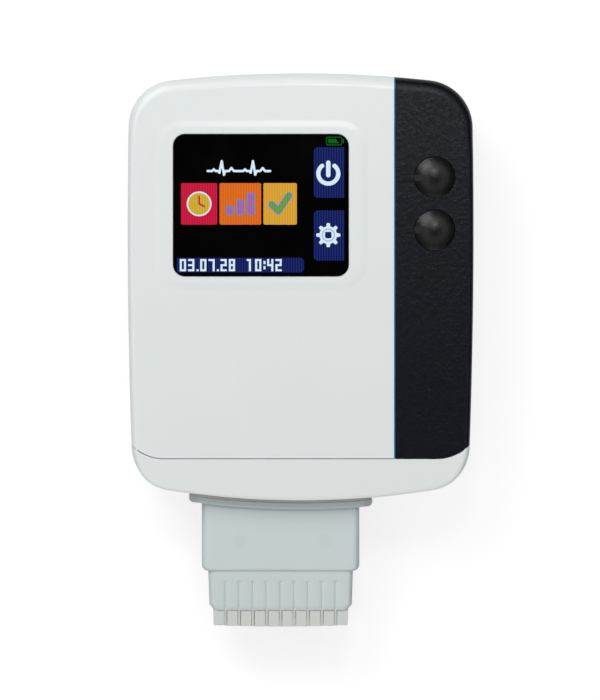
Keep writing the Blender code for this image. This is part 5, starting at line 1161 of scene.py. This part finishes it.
def stroke(path, width):
    """The outline of a line of even width with round ends and round outer bends."""
    half = width / 2
    outline = []
    for way in (path, path[::-1]):
        for before, at, after in zip(way, way[1:], way[2:]):
            turn_in, turn_out = heading(before, at), heading(at, after)
            bend = (turn_out - turn_in + math.pi) % (2 * math.pi) - math.pi
            if bend > 0:
                outline += arc(at, half, turn_in - QUARTER, turn_out - QUARTER, BEND_STEPS)
            else:
                outline.append(polar(at, half / math.cos(bend / 2), turn_in + bend / 2 - QUARTER))
        turn = heading(way[-2], way[-1])
        outline += arc(way[-1], half, turn - QUARTER, turn + QUARTER, ROUNDING_STEPS)
    return [outline]


def bar_outline(low, high, rounding, side):
    """A rectangle from its lowest to its highest corner, with the corners of one side rounded."""
    width, length = high[0] - low[0], high[1] - low[1]
    centre = ((low[0] + high[0]) / 2, (low[1] + high[1]) / 2)
    return rounded_outline(width, length, rounding, centre, 8, (side,))


def ring_outline(centre, inner, outer):
    """A whole ring as one outline, closed by a hair-thin seam."""
    turn = 2 * math.pi * (1 - 1 / 4096)
    return arc(centre, outer, 0.0, turn, 64) + arc(centre, inner, 0.0, turn, 64)[::-1]


def gear_outline(centre, count, root, tip, ease):
    """A gear with blunt teeth, whose points lie at these shares of the pitch from a tooth."""
    tooth = ((-0.30, root), (-0.18, tip - ease), (-0.12, tip), (0.12, tip), (0.18, tip - ease))
    tooth += tuple((share, root) for share in (0.30, 0.4, 0.5, 0.6))
    pitch = 2 * math.pi / count
    return [
        polar(centre, radius, number * pitch + share * pitch)
        for number in range(count)
        for share, radius in tooth
    ]


def draw_keys():
    """Two striped keys at the right, with a power symbol and a gear."""
    corners = [((KEY_LEFT, low), (KEY_RIGHT, high)) for low, high in KEY_LEVELS]
    ink("keys", [bar_outline(*pair, KEY_ROUNDING, -1) for pair in corners], SCREEN_NAVY, 1)
    x, y = SYMBOL_X, POWER_Y
    ring_line, bar_line, bar_ends = 0.00085, 0.0009, (-0.0003, 0.0022)
    start, sweep = math.radians(128), math.radians(284)
    path = arc((x, y), SYMBOL_RADIUS - 0.00042, start, start + sweep, 40)
    ink("power_ring", stroke(path, ring_line), SCREEN_WHITE, 2)
    ink("power_bar", stroke([(x, y + end) for end in bar_ends], bar_line), SCREEN_WHITE, 2)

    centre = (SYMBOL_X, GEAR_Y)
    root, ease, line, hole, hole_rounding = 0.00178, 0.0001, (0.00116, 0.00127), 0.0013, 0.0003
    ink("gear", [gear_outline(centre, 8, root, SYMBOL_RADIUS, ease)], SCREEN_WHITE, 2)
    ink("gear_line", [ring_outline(centre, *line)], SCREEN_SKY, 3)
    ink_block("gear_hole", hole, hole, hole_rounding, centre, SCREEN_NAVY, 3)


def draw_battery():
    """Battery gauge at the upper right, with its charge falling off to the right."""
    x, y = 0.01475, 0.01294
    width, length, line, rounding = 0.00328, 0.00174, 0.0002, 0.0002
    inside = (width - 2 * line, length - 2 * line)
    ink_block("battery_case", width, length, 2 * rounding, (x, y), SCREEN_LEAF, 1)
    ink_block("battery_inside", *inside, rounding, (x, y), PANE, 2)
    tip_width, tip_length, tip_rounding = 0.0003, 0.0008, 0.0001
    place = (x + width / 2 + line, y)
    tip = rounded_outline(tip_width, tip_length, tip_rounding, place, 3)
    ink("battery_tip", [tip], SCREEN_LEAF, 1)
    left, low_right, high_right, half = 0.00125, 0.00105, 0.00030, 0.00046
    shares = ((-left, -half), (low_right, -half), (high_right, half), (-left, half))
    ink("battery_charge", [[(x + across, y + up) for across, up in shares]], SCREEN_LEAF, 3)


def draw_trace():
    """Two beats of a heart trace over the tiles."""
    start_x, start_y = TRACE_START
    path = [TRACE_START]
    for count in range(2):
        for x, y in BEAT[1:]:
            along = x + BEAT[-1][0] * count
            path.append((start_x + MILLIMETRE * along, start_y + MILLIMETRE * y))
    ink("trace", stroke(path, TRACE_LINE), SCREEN_WHITE, 1)


def draw_tiles():
    """Three colour tiles with a clock, a bar chart and a tick."""
    level, length, rounding = (TILE_LOW + TILE_HIGH) / 2, TILE_HIGH - TILE_LOW, 0.0003
    paints = (SCREEN_CRIMSON, SCREEN_ORANGE, SCREEN_AMBER)
    for name, paint, (left, right) in zip(("left", "middle", "right"), paints, TILE_SPANS):
        centre = ((left + right) / 2, level)
        ink_block(f"tile_{name}", right - left, length, rounding, centre, paint, 1)
    clock, bars, tick = (sum(span) / 2 for span in TILE_SPANS)

    face, rim, hand_line = 0.0022, 0.0025, 0.00035
    ink("clock_face", [circle((clock, level), face, 48)], SCREEN_GOLD, 2)
    ink("clock_rim", [ring_outline((clock, level), face, rim)], SCREEN_WHITE, 2)
    path = [(clock, level + 0.0015), (clock, level), (clock + 0.0010, level - 0.0005)]
    ink("clock_hands", stroke(path, hand_line), SCREEN_CRIMSON, 3)

    pitch, foot, wide, edge = 0.0021, level - 0.0022, 0.0016, 0.0005
    for number, height in enumerate((0.0018, 0.0030, 0.0044)):
        centre = (bars - pitch + pitch * number, foot + height / 2)
        inside = (wide - edge, height - edge)
        ink_block(f"bar_edge_{number + 1}", wide, height, 0.0002, centre, SCREEN_SKY, 2)
        ink_block(f"bar_{number + 1}", *inside, 0.0001, centre, SCREEN_LILAC, 3)

    bends = ((-0.0017, -0.0001), (-0.0004, -0.0015), (0.0018, 0.0017))
    path = [(tick + x, level + y) for x, y in bends]
    edge_line, tick_line = 0.0013, 0.0008
    ink("tick_edge", stroke(path, edge_line), SCREEN_SKY, 2)
    ink("tick", stroke(path, tick_line), SCREEN_GREEN, 3)


# Bars of a plain digit on a grid three wide and five high, from the foot up
DIGIT_BARS = {
    "0": ((0, 0, 1, 5), (2, 0, 3, 5), (1, 0, 2, 1), (1, 4, 2, 5)),
    "1": ((1, 0, 2, 5), (0, 4, 1, 5)),
    "2": ((0, 4, 3, 5), (2, 3, 3, 4), (0, 2, 3, 3), (0, 1, 1, 2), (0, 0, 3, 1)),
    "3": ((2, 0, 3, 5), (0, 4, 2, 5), (0, 2, 2, 3), (0, 0, 2, 1)),
    "4": ((2, 0, 3, 5), (0, 2, 1, 5), (1, 2, 2, 3)),
    "7": ((2, 0, 3, 5), (0, 4, 2, 5)),
    "8": ((0, 0, 1, 5), (2, 0, 3, 5), (1, 0, 2, 1), (1, 2, 2, 3), (1, 4, 2, 5)),
    ".": ((0, 0, 1, 1),),
    ":": ((0, 1, 1, 2), (0, 3, 1, 4)),
}
DIGIT_COLUMNS = (0.0, 0.00042, 0.00084, 0.00126)
DIGIT_ROWS = (0.0, 0.00040, 0.00103, 0.00143, 0.00206, 0.00246)
DIGIT_PITCH = 0.00168
STOP_PITCH = 0.00074


def number_outlines(text, left, foot):
    """Plain upright digits, stops and colons, from a place at their lower left."""
    outlines = []
    for sign in text:
        for low_x, low_y, high_x, high_y in DIGIT_BARS.get(sign, ()):
            x_low, x_high = left + DIGIT_COLUMNS[low_x], left + DIGIT_COLUMNS[high_x]
            y_low, y_high = foot + DIGIT_ROWS[low_y], foot + DIGIT_ROWS[high_y]
            outlines.append(rectangle((x_low, y_low), (x_high, y_high)))
        left += STOP_PITCH if sign in ".:" else DIGIT_PITCH
    return outlines


def draw_status():
    """Striped bar along the foot with a plain date and time in digits."""
    bar = bar_outline(*STATUS_CORNERS, STATUS_ROUNDING, 1)
    ink("status_bar", [bar], SCREEN_NAVY, 1)
    date = number_outlines("03.07.28", DATE_LEFT, DIGIT_FOOT)
    time = number_outlines("10:42", TIME_LEFT, DIGIT_FOOT)
    ink("status_digits", date + time, SCREEN_WHITE, 2)


def dress_nodes():
    """Gives each CAD node its finish, joins its split corners and shades it smoothly."""
    for part in frame["record"]["subparts"]:
        node = frame["nodes"][part["node"]]
        node.data.materials.clear()
        node.data.materials.append(SLOT_FINISH[part["material_slot"]].material)
        modify(node, "WELD", merge_threshold=0.000002)
        modify(node, "DECIMATE", decimate_type="DISSOLVE", angle_limit=math.radians(0.6))
        edges = {"limit_method": "ANGLE", "angle_limit": math.radians(50)}
        modify(node, "BEVEL", width=0.0001, segments=2, use_clamp_overlap=False, **edges)
        node.data.shade_smooth()
        modify(node, "WEIGHTED_NORMAL", keep_sharp=False)


dress_nodes()
make_case()
make_end_cap()
make_window()
for button_place in BUTTON_PLACES:
    make_button(*button_place)
make_plug()
drop_tools()
draw_keys()
draw_battery()
draw_trace()
draw_tiles()
draw_status()


# Stage


def make_camera():
    """Looks straight down on the recorder, as the photograph does."""
    data = bpy.data.cameras.new("camera")
    data.lens = data.sensor_width * CAMERA_DISTANCE / (PICTURE_HEIGHT * METRES_PER_PIXEL)
    data.clip_end = 2 * CAMERA_DISTANCE
    camera = in_scene("camera", data)
    camera.location = (CAMERA_X, 0.0, SILHOUETTE_HEIGHT + CAMERA_DISTANCE)
    bpy.context.scene.camera = camera


def seen_directly(paint):
    """One where a surface is seen by the camera, in a reflection or through glass."""
    path = paint.node("ShaderNodeLightPath", {}).outputs
    first = paint.reckoned("MAXIMUM", path["Is Camera Ray"], path["Is Glossy Ray"])
    return paint.reckoned("MAXIMUM", first, path["Is Transmission Ray"])


def make_floor():
    """Pale floor that looks brighter than it lights the recorder, and keeps its shadow."""
    mesh = bpy.data.meshes.new("floor")
    corners = rectangle((-FLOOR_REACH, -FLOOR_REACH), (FLOOR_REACH, FLOOR_REACH))
    mesh.from_pydata(level_ring(corners, 0.0), [], [(0, 1, 2, 3)])
    paint = Paint("pale_floor", FLOOR_COLOUR, 0.9)
    strength = paint.reckoned("MULTIPLY", seen_directly(paint), FLOOR_GLOW)
    glow = paint.node("ShaderNodeEmission", {"Strength": strength})
    total = paint.node("ShaderNodeAddShader", {0: paint.shader.outputs[0], 1: glow.outputs[0]})
    paint.feed(paint.tree.nodes["Material Output"].inputs["Surface"], total.outputs[0])
    mesh.materials.append(paint.material)
    in_scene("floor", mesh)


def make_lamp(name, place, size, power):
    """A rectangular soft light that looks at the frame's origin."""
    data = bpy.data.lights.new(name, "AREA")
    data.shape = "RECTANGLE"
    data.size, data.size_y = size
    data.energy = power
    lamp = in_scene(name, data)
    lamp.location = place
    lamp.rotation_mode = "QUATERNION"
    lamp.rotation_quaternion = (-Vector(place)).to_track_quat("-Z", "Y")


def make_world():
    """Soft light from all round, brighter towards the top left and dark straight overhead."""
    world = bpy.data.worlds.new("studio")
    bpy.context.scene.world = world
    world.use_nodes = True
    sky = Tree(world.node_tree)
    place = sky.node("ShaderNodeTexCoord", {}).outputs["Generated"]
    height = sky.node("ShaderNodeSeparateXYZ", {0: place}).outputs["Z"]
    ends = {0: place, 1: WORLD_LEAN}
    lean = sky.node("ShaderNodeVectorMath", ends, operation="DOT_PRODUCT").outputs["Value"]
    ring = sky.reckoned("MULTIPLY", sky.ranged(height, *SKY_RISE), sky.ranged(height, *SKY_CAP))
    ring = sky.reckoned("MULTIPLY", ring, sky.ranged(lean, *SKY_LEAN))
    total = sky.reckoned("ADD", ring, sky.ranged(height, *HORIZON))
    background = world.node_tree.nodes["Background"]
    sky.feed(background.inputs["Color"], (1.0, 1.0, 1.0, 1.0))
    sky.feed(background.inputs["Strength"], total)


make_camera()
make_floor()
make_world()
for lamp_values in LAMPS:
    make_lamp(*lamp_values)

bpy.context.scene.view_settings.view_transform = "Standard"
